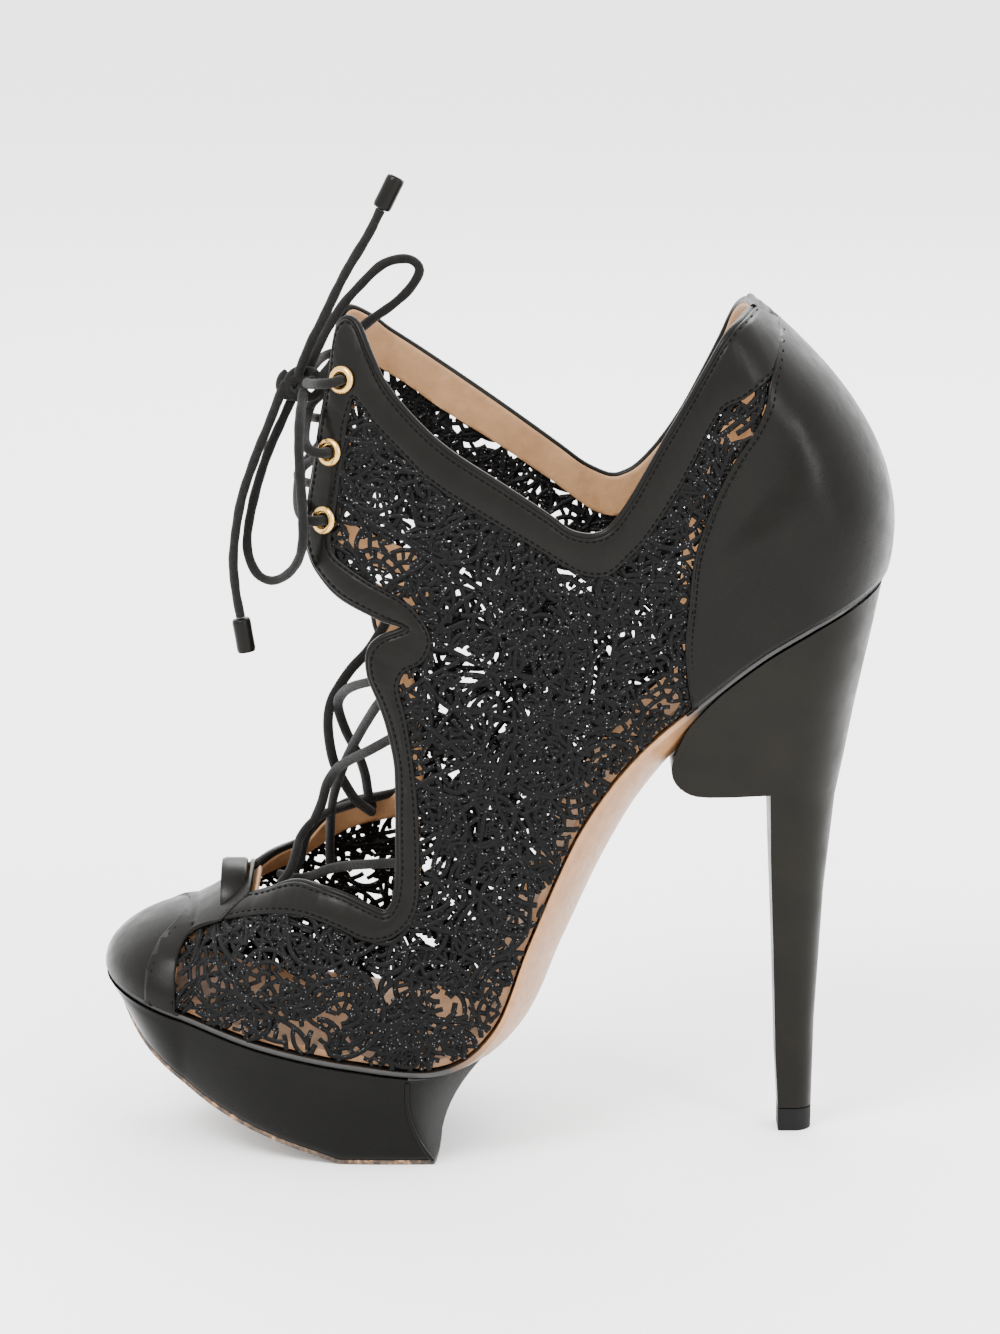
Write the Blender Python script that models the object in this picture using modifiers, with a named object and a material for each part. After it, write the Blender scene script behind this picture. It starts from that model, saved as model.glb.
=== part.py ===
"""Lace-up platform heel: open lace net upper with leather trims, left shoe.

Metres, +Z up, toe towards -X, outer side of the foot towards -Y. The origin is on the floor below the
middle of the shoe. Tables of sections hold shares of LENGTH (x, counted from the toe), COLLAR_HEIGHT (z)
and BALL_WIDTH (widths), so they follow the driving sizes.
"""

import math

import bmesh
import bpy
import numpy as np
from mathutils import Matrix, Vector

# Driving sizes
LENGTH = 0.2008
COLLAR_HEIGHT = 0.2176
BALL_WIDTH = 0.077
WALL = 0.0016
OVERLAY = 0.0009
GAP = 0.0003
INSOLE_THICKNESS = 0.0018
INSOLE_INSET = 0.0038
SOLE_EDGE = 0.0012
PLATFORM_LEDGE = 0.0016
TREAD = 0.0012
HEEL_TIP_HEIGHT = 0.006
EYELET_RADIUS = 0.0026
EYELET_WIRE = 0.00055
LACE_RADIUS = 0.00135
LACE_SHIFT = 0.0004
TAB_THICKNESS = 0.0012
TAB_RISE = 0.0045
AGLET_RADIUS = 0.0024
AGLET_LENGTH = 0.0088
NET_GAP = 0.0023
NET_GAP_SPACING = 0.0108
KNOT_SIZE = (0.0094, 0.0066, 0.0076)

TOE_STATIONS = 4
FRONT_STATIONS = 3
FRONT_ROWS = 3
STATIONS_PER_ROW = 2
HEEL_STATIONS = 4
SIDE_STEPS = 7

# foot x, foot z, top x, top z, bow, foot half width, belly half width, belly at, top half width, centre
LAST_ROWS = (
    (0.102, 0.174, 0.117, 0.273, 0.000, 0.370, 0.372, 0.10, 0.010, 0.035),
    (0.201, 0.149, 0.191, 0.319, 0.000, 0.461, 0.470, 0.20, 0.010, 0.015),
    (0.316, 0.130, 0.256, 0.400, 0.000, 0.494, 0.500, 0.20, 0.010, 0.000),
    (0.430, 0.122, 0.276, 0.496, 0.000, 0.481, 0.487, 0.20, 0.010, -0.005),
    (0.498, 0.165, 0.271, 0.597, 0.000, 0.429, 0.455, 0.30, 0.010, -0.010),
    (0.542, 0.262, 0.241, 0.699, 0.000, 0.364, 0.435, 0.40, 0.010, -0.010),
    (0.605, 0.390, 0.246, 0.818, 0.004, 0.318, 0.422, 0.45, 0.020, -0.005),
    (0.674, 0.478, 0.286, 0.997, 0.010, 0.305, 0.416, 0.45, 0.060, 0.000),
    (0.754, 0.545, 0.430, 1.039, 0.030, 0.305, 0.409, 0.40, 0.300, 0.000),
    (0.829, 0.602, 0.600, 1.048, 0.060, 0.325, 0.409, 0.35, 0.325, 0.000),
    (0.898, 0.643, 0.729, 1.029, 0.090, 0.338, 0.416, 0.35, 0.310, 0.000),
)
TOE_TIP = (0.000, 0.203, 0.000, 0.267, 0.000, 0.370, 0.372, 0.10, 0.010, 0.050)
HEEL_BACK = (0.9935, 0.692, 0.823, 1.000, 0.125, 0.338, 0.416, 0.35, 0.310, 0.000)
LAST_ROW = len(LAST_ROWS) - 1

# How far the middle of the outsole stands below its edges: row of the last, share of BALL_WIDTH
CROWN = ((-1.0, 0.000), (0.0, 0.004), (2.0, 0.010), (3.0, 0.045), (3.6, 0.085), (4.5, 0.105),
         (6.0, 0.118), (7.5, 0.100), (8.5, 0.060), (9.5, 0.020), (11.0, 0.000))

# Edge of the throat and collar, from the front of the throat over the ankle to the back:
# near x, near z, far x, far z
OPENING = (
    (-0.100, 0.350, -0.100, 0.350),
    (0.166, 0.312, 0.166, 0.312),
    (0.180, 0.301, 0.180, 0.303),
    (0.212, 0.317, 0.207, 0.318),
    (0.247, 0.333, 0.244, 0.325),
    (0.276, 0.333, 0.268, 0.348),
    (0.309, 0.327, 0.296, 0.367),
    (0.338, 0.316, 0.325, 0.372),
    (0.360, 0.309, 0.350, 0.374),
    (0.371, 0.318, 0.370, 0.378),
    (0.376, 0.335, 0.378, 0.390),
    (0.378, 0.365, 0.380, 0.405),
    (0.378, 0.409, 0.380, 0.425),
    (0.378, 0.456, 0.378, 0.456),
    (0.376, 0.490, 0.376, 0.490),
    (0.366, 0.531, 0.366, 0.531),
    (0.355, 0.560, 0.355, 0.560),
    (0.343, 0.587, 0.343, 0.587),
    (0.342, 0.613, 0.342, 0.613),
    (0.356, 0.630, 0.356, 0.630),
    (0.388, 0.645, 0.388, 0.645),
    (0.355, 0.656, 0.355, 0.656),
    (0.307, 0.676, 0.307, 0.676),
    (0.281, 0.698, 0.281, 0.698),
    (0.268, 0.718, 0.268, 0.718),
    (0.263, 0.745, 0.263, 0.745),
    (0.267, 0.780, 0.267, 0.780),
    (0.275, 0.828, 0.275, 0.828),
    (0.284, 0.880, 0.284, 0.880),
    (0.295, 0.929, 0.295, 0.929),
    (0.300, 0.965, 0.299, 0.957),
    (0.306, 0.985, 0.304, 0.975),
    (0.316, 0.993, 0.312, 0.982),
    (0.328, 0.986, 0.322, 0.979),
    (0.344, 0.953, 0.344, 0.965),
    (0.361, 0.923, 0.361, 0.951),
    (0.394, 0.887, 0.394, 0.929),
    (0.439, 0.850, 0.439, 0.899),
    (0.508, 0.809, 0.508, 0.853),
    (0.565, 0.774, 0.580, 0.804),
    (0.588, 0.758, 0.610, 0.783),
    (0.607, 0.752, 0.635, 0.771),
    (0.625, 0.752, 0.650, 0.767),
    (0.644, 0.761, 0.664, 0.769),
    (0.670, 0.794, 0.685, 0.782),
    (0.708, 0.857, 0.713, 0.820),
    (0.737, 0.903, 0.741, 0.866),
    (0.764, 0.947, 0.766, 0.912),
    (0.788, 0.983, 0.790, 0.960),
    (0.812, 0.998, 0.812, 0.996),
    (0.826, 0.9985, 0.826, 0.9985),
    (0.950, 0.9985, 0.950, 0.9985),
    (0.950, 1.150, 0.950, 1.150),
    (-0.100, 1.150, -0.100, 1.150),
)

# Seam round the lace net panel, inside all the leather trims: near x, near z, far x, far z
NET_PANEL = (
    (0.093, 0.120, 0.093, 0.120),
    (0.092, 0.221, 0.092, 0.221),
    (0.102, 0.249, 0.102, 0.249),
    (0.123, 0.262, 0.123, 0.262),
    (0.154, 0.275, 0.154, 0.275),
    (0.200, 0.290, 0.200, 0.290),
    (0.228, 0.297, 0.225, 0.296),
    (0.249, 0.298, 0.246, 0.302),
    (0.279, 0.295, 0.276, 0.323),
    (0.309, 0.286, 0.305, 0.335),
    (0.337, 0.276, 0.333, 0.341),
    (0.366, 0.277, 0.360, 0.344),
    (0.389, 0.293, 0.385, 0.352),
    (0.403, 0.320, 0.400, 0.372),
    (0.406, 0.366, 0.406, 0.396),
    (0.405, 0.411, 0.405, 0.420),
    (0.402, 0.456, 0.402, 0.456),
    (0.396, 0.501, 0.396, 0.501),
    (0.388, 0.545, 0.388, 0.545),
    (0.381, 0.573, 0.381, 0.573),
    (0.388, 0.592, 0.388, 0.592),
    (0.412, 0.604, 0.412, 0.604),
    (0.420, 0.620, 0.420, 0.620),
    (0.418, 0.642, 0.418, 0.642),
    (0.404, 0.664, 0.404, 0.664),
    (0.388, 0.677, 0.388, 0.677),
    (0.357, 0.690, 0.357, 0.690),
    (0.330, 0.706, 0.330, 0.706),
    (0.301, 0.722, 0.301, 0.722),
    (0.297, 0.741, 0.297, 0.741),
    (0.303, 0.775, 0.303, 0.775),
    (0.312, 0.829, 0.312, 0.829),
    (0.319, 0.884, 0.319, 0.884),
    (0.326, 0.903, 0.326, 0.920),
    (0.356, 0.869, 0.356, 0.900),
    (0.400, 0.829, 0.400, 0.872),
    (0.434, 0.799, 0.440, 0.843),
    (0.504, 0.762, 0.508, 0.803),
    (0.573, 0.724, 0.580, 0.757),
    (0.610, 0.705, 0.620, 0.727),
    (0.640, 0.705, 0.650, 0.719),
    (0.660, 0.720, 0.672, 0.722),
    (0.692, 0.752, 0.695, 0.740),
    (0.719, 0.790, 0.720, 0.768),
    (0.750, 0.844, 0.750, 0.815),
    (0.777, 0.891, 0.777, 0.865),
    (0.805, 0.923, 0.805, 0.905),
    (0.826, 0.935, 0.826, 0.922),
    (0.838, 0.921, 0.838, 0.908),
    (0.835, 0.900, 0.835, 0.890),
    (0.822, 0.872, 0.822, 0.865),
    (0.801, 0.843, 0.801, 0.838),
    (0.783, 0.812, 0.783, 0.808),
    (0.766, 0.776, 0.766, 0.774),
    (0.749, 0.724, 0.749, 0.724),
    (0.743, 0.666, 0.743, 0.666),
    (0.739, 0.618, 0.739, 0.618),
    (0.743, 0.572, 0.743, 0.572),
    (0.758, 0.525, 0.758, 0.525),
    (0.800, 0.450, 0.800, 0.450),
    (0.700, 0.300, 0.700, 0.300),
    (0.500, 0.040, 0.500, 0.040),
)

# Front edge of the heel counter above the net panel's point, and front edge of the toe band: x, z
COUNTER_TOP = ((0.838, 0.921), (0.852, 0.985), (0.860, 1.100))
TOE_BAND = ((0.058, 0.100), (0.058, 0.205), (0.063, 0.228), (0.074, 0.248), (0.092, 0.268),
            (0.104, 0.300), (0.104, 0.400))

# Platform sole from the toe back to the arch: x, z of its underside
TREAD_LINE = (
    (0.003, 0.190), (0.018, 0.170), (0.046, 0.130), (0.073, 0.106), (0.092, 0.092), (0.124, 0.069),
    (0.151, 0.054), (0.188, 0.037), (0.238, 0.019), (0.277, 0.008), (0.300, 0.000), (0.440, 0.000),
)
PLATFORM_FOOT_SHARE = 0.84
PLATFORM_NOSE = 0.012
REAR_START = 0.390
REAR_END = 0.474
REAR_FOOT_START = 0.420
REAR_FOOT_END = 0.431
REAR_HOLLOW = 0.012

# Heel block. Side outline: x, z. Plan sections: z, back x, half width, depth of the round back
HEEL_OUTLINE = (
    (0.862, 0.090), (0.857, 0.228), (0.852, 0.340), (0.8495, 0.424), (0.803, 0.4215), (0.772, 0.421),
    (0.757, 0.422), (0.741, 0.428), (0.729, 0.439), (0.7235, 0.453), (0.7245, 0.468), (0.732, 0.488),
    (0.740, 0.506), (0.760, 0.535), (0.700, 0.700), (1.050, 0.760),
)
HEEL_SECTIONS = (
    (-0.010, 0.9095, 0.063, 0.058),
    (0.030, 0.9100, 0.066, 0.060),
    (0.138, 0.9125, 0.079, 0.070),
    (0.299, 0.9225, 0.112, 0.104),
    (0.414, 0.9355, 0.165, 0.135),
    (0.460, 0.9455, 0.215, 0.160),
    (0.519, 0.9570, 0.275, 0.185),
    (0.560, 0.9660, 0.318, 0.205),
    (0.620, 0.9800, 0.342, 0.225),
    (0.692, 0.9955, 0.348, 0.243),
    (0.770, 1.0150, 0.350, 0.250),
)
HEEL_TIP_FRONT = 0.866

# Eyelets down the ankle flap: row and height on the last, and how deep the facet there lies
EYELETS = ((6.83, 0.788, 0.0), (6.40, 0.775, 0.0007), (5.97, 0.7625, 0.0))

BLACK_LEATHER = ((0.013, 0.012, 0.011), 0.36, 0.0)
BLACK_NET = ((0.010, 0.010, 0.010), 0.75, 0.0)
TAN = ((0.62, 0.40, 0.23), 0.55, 0.0)
PATENT = ((0.012, 0.012, 0.011), 0.22, 0.0)
HEEL_BLACK = ((0.016, 0.015, 0.013), 0.30, 0.0)
RUBBER = ((0.010, 0.010, 0.010), 0.60, 0.0)
GOLD = ((0.80, 0.56, 0.24), 0.25, 1.0)
LACE_BLACK = ((0.006, 0.006, 0.006), 0.85, 0.0)


def clear_scene():
    for obj in list(bpy.data.objects):
        bpy.data.objects.remove(obj, do_unlink=True)


def new_collection(name):
    collection = bpy.data.collections.new(name)
    bpy.context.scene.collection.children.link(collection)
    return collection


def material(name, look):
    colour, roughness, metallic = look
    found = bpy.data.materials.get(name)
    if found:
        return found
    made = bpy.data.materials.new(name)
    made.use_nodes = True
    shader = made.node_tree.nodes["Principled BSDF"]
    shader.inputs["Base Color"].default_value = (*colour, 1.0)
    shader.inputs["Roughness"].default_value = roughness
    shader.inputs["Metallic"].default_value = metallic
    return made


# Curves and the form of the last

def spline(rows, at):
    """Catmull-Rom through the rows, at counted in rows."""
    rows = np.asarray(rows, float)
    i = int(min(max(math.floor(at), 0), len(rows) - 2))
    t = at - i
    p1 = rows[i]
    p2 = rows[i + 1]
    p0 = rows[i - 1] if i > 0 else 2 * p1 - p2
    p3 = rows[i + 2] if i + 2 < len(rows) else 2 * p2 - p1
    return 0.5 * (2 * p1 + (p2 - p0) * t + (2 * p0 - 5 * p1 + 4 * p2 - p3) * t * t
                  + (3 * p1 - p0 - 3 * p2 + p3) * t ** 3)


def smooth_route(points, per_span):
    """Points on the smooth curve through a route's own points."""
    count = (len(points) - 1) * per_span
    return [Vector(spline(points, k / per_span)) for k in range(count + 1)]


def station(u, inset=0.0):
    """Section of the last at u, with its width and height factors: below 0 the toe cap, above LAST_ROW the heel."""
    if u < 0:
        angle = -u * math.pi / 2
        end, start, tall = TOE_TIP, LAST_ROWS[0], math.cos(angle)
    elif u > LAST_ROW:
        angle = (u - LAST_ROW) * math.pi / 2
        end, start, tall = HEEL_BACK, LAST_ROWS[-1], 1.0
    else:
        return spline(LAST_ROWS, u), 1.0, 1.0
    reach = 1 - inset / (abs(end[0] - start[0]) * LENGTH)
    row = np.array(start) + math.sin(angle) * reach * (np.array(end) - np.array(start))
    return row, math.cos(angle), tall


def last_point(u, v, side):
    """Outer face of the last: v is 0 at the sole, 1 at the top edge and 2 at the middle of the top."""
    row, wide, tall = station(u)
    foot_x, foot_z, top_x, top_z, bow, foot_w, belly_w, belly_at, top_w, centre = row
    if v > 1:
        height = 1.0
        width = top_w * (2 - v)
    elif v < belly_at:
        height = v
        width = foot_w + (belly_w - foot_w) * math.sin(math.pi / 2 * v / belly_at)
    else:
        turn = (v - belly_at) / (1 - belly_at) * math.pi / 2
        height = belly_at + (1 - belly_at) * math.sin(turn)
        width = top_w + (belly_w - top_w) * math.cos(turn)
    foot = np.array([foot_x * LENGTH, foot_z * COLLAR_HEIGHT])
    top = np.array([top_x * LENGTH, top_z * COLLAR_HEIGHT])
    top = foot + (top - foot) * tall
    middle = (foot + top) / 2 + np.array([bow * LENGTH, 0.0])
    side_view = (1 - height) ** 2 * foot + 2 * height * (1 - height) * middle + height ** 2 * top
    return Vector((side_view[0] - LENGTH / 2, (side * width * wide + centre) * BALL_WIDTH, side_view[1]))


def last_normal(u, v, side):
    """Outward direction of the last's face."""
    step = 0.01
    along = last_point(u + step, v, side) - last_point(u - step, v, side)
    up = last_point(u, v + step, side) - last_point(u, v - step, side)
    return (along.cross(up) * -side).normalized()


def on_last(u, v, side, out):
    return last_point(u, v, side) + last_normal(u, v, side) * out


def last_stations():
    toe = [-1 + k / TOE_STATIONS for k in range(TOE_STATIONS)]
    middle = [k / FRONT_STATIONS for k in range(FRONT_ROWS * FRONT_STATIONS)]
    back_count = (LAST_ROW - FRONT_ROWS) * STATIONS_PER_ROW
    middle += [FRONT_ROWS + k / STATIONS_PER_ROW for k in range(back_count + 1)]
    heel = [LAST_ROW + (k + 1) / HEEL_STATIONS for k in range(HEEL_STATIONS)]
    return toe + middle + heel


# Mesh building

def finish_mesh(name, bm, collection, look_name, look, sharp=40):
    bmesh.ops.remove_doubles(bm, verts=bm.verts, dist=1e-6)
    bmesh.ops.dissolve_degenerate(bm, edges=bm.edges, dist=1e-7)
    bmesh.ops.recalc_face_normals(bm, faces=bm.faces)
    mesh = bpy.data.meshes.new(name)
    bm.to_mesh(mesh)
    bm.free()
    mesh.shade_smooth()
    mesh.set_sharp_from_angle(angle=math.radians(sharp))
    obj = bpy.data.objects.new(name, mesh)
    collection.objects.link(obj)
    if look:
        mesh.materials.append(material(look_name, look))
    return obj


def bridge(bm, rings, closed):
    """Quads between neighbouring rings of vertices."""
    count = len(rings[0])
    for near, far in zip(rings[:-1], rings[1:]):
        for k in range(count if closed else count - 1):
            n = (k + 1) % count
            bm.faces.new((near[k], near[n], far[n], far[k]))


def loft(name, rings, collection, look_name=None, look=None, capped=(True, True)):
    """Closed body through rings with the same number of points."""
    bm = bmesh.new()
    made = [[bm.verts.new(p) for p in ring] for ring in rings]
    bridge(bm, made, True)
    if capped[0]:
        bm.faces.new(made[0])
    if capped[1]:
        bm.faces.new(made[-1])
    bmesh.ops.triangulate(bm, faces=bm.faces)
    return finish_mesh(name, bm, collection, look_name, look)


def last_sheet(name, collection, out, thickness, grows, look_name, look):
    """Closed wall over the whole last, open underneath, from the distance out: grows is 1 outwards, -1 inwards."""
    over = [k / SIDE_STEPS for k in range(SIDE_STEPS + 1)]
    bm = bmesh.new()
    rings = []
    for u in last_stations():
        near = [last_point(u, v, -1) for v in over]
        far = [last_point(u, v, 1) for v in reversed(over)]
        rings.append([bm.verts.new(p) for p in near + [last_point(u, 2, 1)] + far])
    bridge(bm, rings, False)
    bmesh.ops.remove_doubles(bm, verts=bm.verts, dist=2e-5)
    bmesh.ops.triangulate(bm, faces=bm.faces, quad_method="FIXED")
    bmesh.ops.recalc_face_normals(bm, faces=bm.faces)
    bm.normal_update()
    highest = max(bm.faces, key=lambda f: f.calc_center_median().z)
    if highest.normal.z < 0:
        bmesh.ops.reverse_faces(bm, faces=bm.faces)
        bm.normal_update()
    moves = [(v, v.normal.copy()) for v in bm.verts]
    for v, normal in moves:
        v.co += normal * out
    obj = finish_sheet(name, bm, collection, look_name, look)
    wall = obj.modifiers.new("Wall", "SOLIDIFY")
    wall.thickness = thickness
    wall.offset = grows
    wall.use_even_offset = False
    return obj


def finish_sheet(name, bm, collection, look_name, look):
    mesh = bpy.data.meshes.new(name)
    bm.to_mesh(mesh)
    bm.free()
    mesh.shade_smooth()
    mesh.set_sharp_from_angle(angle=math.radians(40))
    obj = bpy.data.objects.new(name, mesh)
    collection.objects.link(obj)
    mesh.materials.append(material(look_name, look))
    return obj


def into_collection(obj, collection):
    """Move an object that an operator made into a collection."""
    for owner in list(obj.users_collection):
        owner.objects.unlink(obj)
    collection.objects.link(obj)


def as_cutter(obj):
    obj.hide_render = True
    obj.display_type = "WIRE"
    return obj


def side_place(x, y, z):
    return Vector((x * LENGTH - LENGTH / 2, y, z * COLLAR_HEIGHT))


def two_sided_prism(name, table, collection):
    """Prism across the shoe whose near outline differs from its far one. The table holds at 0.4 BALL_WIDTH."""
    reach = BALL_WIDTH
    held = 0.4 * BALL_WIDTH
    ends = []
    for y in (-reach, reach):
        share = (y + held) / (2 * held)
        ends.append([side_place(nx + (fx - nx) * share, y, nz + (fz - nz) * share)
                     for nx, nz, fx, fz in table])
    return as_cutter(loft(name, ends, collection))


def prism(name, outline, collection, low=-1.0, high=1.0):
    """Prism across the shoe from low to high, in shares of BALL_WIDTH."""
    ends = [[side_place(x, y * BALL_WIDTH, z) for x, z in outline] for y in (low, high)]
    return as_cutter(loft(name, ends, collection))


def cut(obj, cutter, operation="DIFFERENCE"):
    made = obj.modifiers.new(cutter.name, "BOOLEAN")
    made.object = cutter
    made.operation = operation
    made.solver = "EXACT"


def round_bar(name, route, radius, collection, look, per_span=2, resolution=2):
    """Round cord along a route, as a curve with filled caps."""
    curve = bpy.data.curves.new(name, "CURVE")
    curve.dimensions = "3D"
    curve.bevel_depth = radius
    curve.bevel_resolution = resolution
    curve.use_fill_caps = True
    points = smooth_route(route, per_span)
    path = curve.splines.new("POLY")
    path.points.add(len(points) - 1)
    for slot, p in zip(path.points, points):
        slot.co = (*p, 1.0)
    obj = bpy.data.objects.new(name, curve)
    collection.objects.link(obj)
    curve.materials.append(material("lace", look))
    return obj


def curve_to_mesh(obj, collection):
    """The same bar as a mesh with welded caps, for Booleans."""
    depsgraph = bpy.context.evaluated_depsgraph_get()
    mesh = bpy.data.meshes.new_from_object(obj.evaluated_get(depsgraph))
    bm = bmesh.new()
    bm.from_mesh(mesh)
    bmesh.ops.remove_doubles(bm, verts=bm.verts, dist=1e-6)
    bm.to_mesh(mesh)
    bm.free()
    name = obj.name
    matrix = obj.matrix_world.copy()
    bpy.data.objects.remove(obj, do_unlink=True)
    made = bpy.data.objects.new(name, mesh)
    made.matrix_world = matrix
    collection.objects.link(made)
    return made


# Upper and its leather

def inside_outline(x, z, outline):
    """Whether a side-view place is inside an outline of places."""
    inside = False
    for (x1, z1), (x2, z2) in zip(outline, outline[1:] + outline[:1]):
        if (z1 > z) != (z2 > z) and x < (x2 - x1) * (z - z1) / (z2 - z1) + x1:
            inside = not inside
    return inside


def net_gaps(side, collection):
    """Irregular holes through the net on one side, kept clear of its seams."""
    first = 0 if side < 0 else 2
    panel = [tuple(side_place(row[first], 0, row[first + 1]).xz) for row in NET_PANEL]
    bm = bmesh.new()
    kept = []
    for i in range(19):
        for j in range(7):
            wobble = math.sin(12.9 * i + 78.2 * j + side)
            turn = 3.1 * math.sin(4.7 * i + 2.3 * j)
            u = 0.75 + 0.42 * i + 0.12 * wobble
            v = 0.13 + 0.098 * j + 0.03 * math.cos(9.1 * i + 5.3 * j) + 0.049 * (i % 2)
            centre = last_point(u, v, side)
            size = NET_GAP * (0.78 + 0.3 * wobble * wobble)
            ring = [(centre.x + size * math.cos(turn + a) * 1.25, centre.z + size * math.sin(turn + a))
                    for a in (0.0, 1.5, 3.0, 4.6)]
            clear = [(centre.x + 2.1 * size * math.cos(a), centre.z + 2.1 * size * math.sin(a))
                     for a in (0.0, 0.8, 1.6, 2.4, 3.1, 3.9, 4.7, 5.5)]
            above_sole = centre.z - last_point(u, 0, side).z > 3.2 * size
            apart = all((centre.xz - other).length > NET_GAP_SPACING for other in kept)
            if not above_sole or not apart or not all(inside_outline(x, z, panel) for x, z in clear):
                continue
            kept.append(centre.xz)
            ends = [[bm.verts.new((x, y, z)) for x, z in ring]
                    for y in (side * 0.06 * BALL_WIDTH, side * BALL_WIDTH)]
            bridge(bm, ends, True)
            bm.faces.new(ends[0])
            bm.faces.new(ends[1])
    return as_cutter(finish_mesh(f"gaps_{'near' if side < 0 else 'far'}", bm, collection, None, None))


def eyelet_holes(collection):
    bm = bmesh.new()
    for side in (-1, 1):
        for u, v, _ in EYELETS:
            direction = last_normal(u, v, side)
            place = Matrix.Translation(last_point(u, v, side)) @ direction.to_track_quat("Z", "Y").to_matrix().to_4x4()
            bmesh.ops.create_cone(bm, cap_ends=True, segments=10, radius1=EYELET_RADIUS - EYELET_WIRE,
                                  radius2=EYELET_RADIUS - EYELET_WIRE, depth=0.008, matrix=place)
    return as_cutter(finish_mesh("eyelet_holes", bm, collection, None, None))


def make_upper(shoe, cutters):
    opening = two_sided_prism("opening", OPENING, cutters)
    panel = two_sided_prism("net_panel", NET_PANEL, cutters)
    holes = eyelet_holes(cutters)
    upper = last_sheet("upper", shoe, 0.0, WALL, -1, "net", BLACK_NET)
    for cutter in (opening, net_gaps(-1, cutters), net_gaps(1, cutters), holes):
        cut(upper, cutter)

    clearance = GAP / LENGTH
    panel_edge = [row[:2] for row in NET_PANEL]
    after = panel_edge.index(COUNTER_TOP[0]) + 1
    counter_front = list(reversed(COUNTER_TOP)) + panel_edge[after:after + 10] + [(0.750, 0.400)]
    behind = [(1.2, 0.4), (1.2, 1.1)]
    counter_zone = prism("counter_zone", counter_front + behind, cutters)
    trim_back = prism("trim_back", [(x - clearance, z) for x, z in counter_front] + behind, cutters)
    toe_zone = prism("toe_zone", list(TOE_BAND) + [(-0.1, 0.4), (-0.1, 0.1)], cutters)
    trim_front = prism("trim_front", [(x + clearance, z) for x, z in TOE_BAND] + [(-0.1, 0.4), (-0.1, 0.1)], cutters)

    trim = last_sheet("leather_trim", shoe, GAP, OVERLAY, 1, "leather", BLACK_LEATHER)
    for cutter in (opening, panel, trim_back, trim_front, holes):
        cut(trim, cutter)
    counter = last_sheet("heel_counter", shoe, GAP, OVERLAY, 1, "leather", BLACK_LEATHER)
    cut(counter, counter_zone, "INTERSECT")
    cut(counter, opening)
    cut(counter, panel)
    toe = last_sheet("toe_cap", shoe, GAP, OVERLAY, 1, "leather", BLACK_LEATHER)
    cut(toe, toe_zone, "INTERSECT")


# Sole pieces

def crown_at(u):
    """Depth of the outsole's middle below its edges."""
    rows = [row[0] for row in CROWN]
    return float(np.interp(u, rows, [row[1] for row in CROWN])) * BALL_WIDTH


def foot_frame(u, inset=0.0):
    """Middle of the foot's edge line, the direction out of the sole, half width and centre at u."""
    row, wide, _ = station(u, inset)
    step = 0.02
    ahead = station(min(u + step, LAST_ROW + 1), inset)[0]
    behind = station(max(u - step, -1), inset)[0]
    along = np.array([(ahead[0] - behind[0]) * LENGTH, (ahead[1] - behind[1]) * COLLAR_HEIGHT])
    along /= max(np.linalg.norm(along), 1e-9)
    place = np.array([row[0] * LENGTH - LENGTH / 2, row[1] * COLLAR_HEIGHT])
    out = np.array([along[1], -along[0]])
    return place, out, (row[5] * BALL_WIDTH - inset) * wide, row[9] * BALL_WIDTH


def sole_point(u, share, depth, crown=1.0, inset=0.0):
    """Point under the foot at a share of the half width, at a depth plus the crown."""
    place, out, half, centre = foot_frame(u, inset)
    bulge = crown * crown_at(u) * max(0.0, 1 - abs(share) ** 2.2)
    x, z = place + out * (depth + bulge)
    return Vector((x, centre + share * half, z))


ACROSS = (-1.0, -0.65, 0.0, 0.65, 1.0)


def sole_layer(name, shoe, top, bottom, crown, inset, look_name, look):
    """Layer that follows the foot's edge line, between two depths."""
    rings = []
    for u in last_stations():
        upper_line = [sole_point(u, s, top, 0.0, inset) for s in ACROSS]
        lower_line = [sole_point(u, s, bottom, crown, inset) for s in reversed(ACROSS)]
        rings.append(upper_line + lower_line)
    return loft(name, rings, shoe, look_name, look, (False, False))


def tread_height(x):
    """Height of the platform's underside at a place along the shoe."""
    share = (x + LENGTH / 2) / LENGTH
    return float(np.interp(share, [r[0] for r in TREAD_LINE], [r[1] for r in TREAD_LINE])) * COLLAR_HEIGHT


def platform_stations():
    rows = [-1 + k / TOE_STATIONS for k in range(TOE_STATIONS)]
    rows += [0.0, 0.4, 0.8, 1.2, 1.6, 2.0, 2.35]
    rear = []
    for k in range(6):
        share = REAR_START + (REAR_END - REAR_START) * math.sin(k / 5 * math.pi / 2)
        rear.append(share)
    return rows, rear


def row_at(share):
    """Row of the last whose foot edge is at a share of the length."""
    rows = np.linspace(0, 6, 121)
    places = [spline(LAST_ROWS, r)[0] for r in rows]
    return float(np.interp(share, places, rows))


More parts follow.
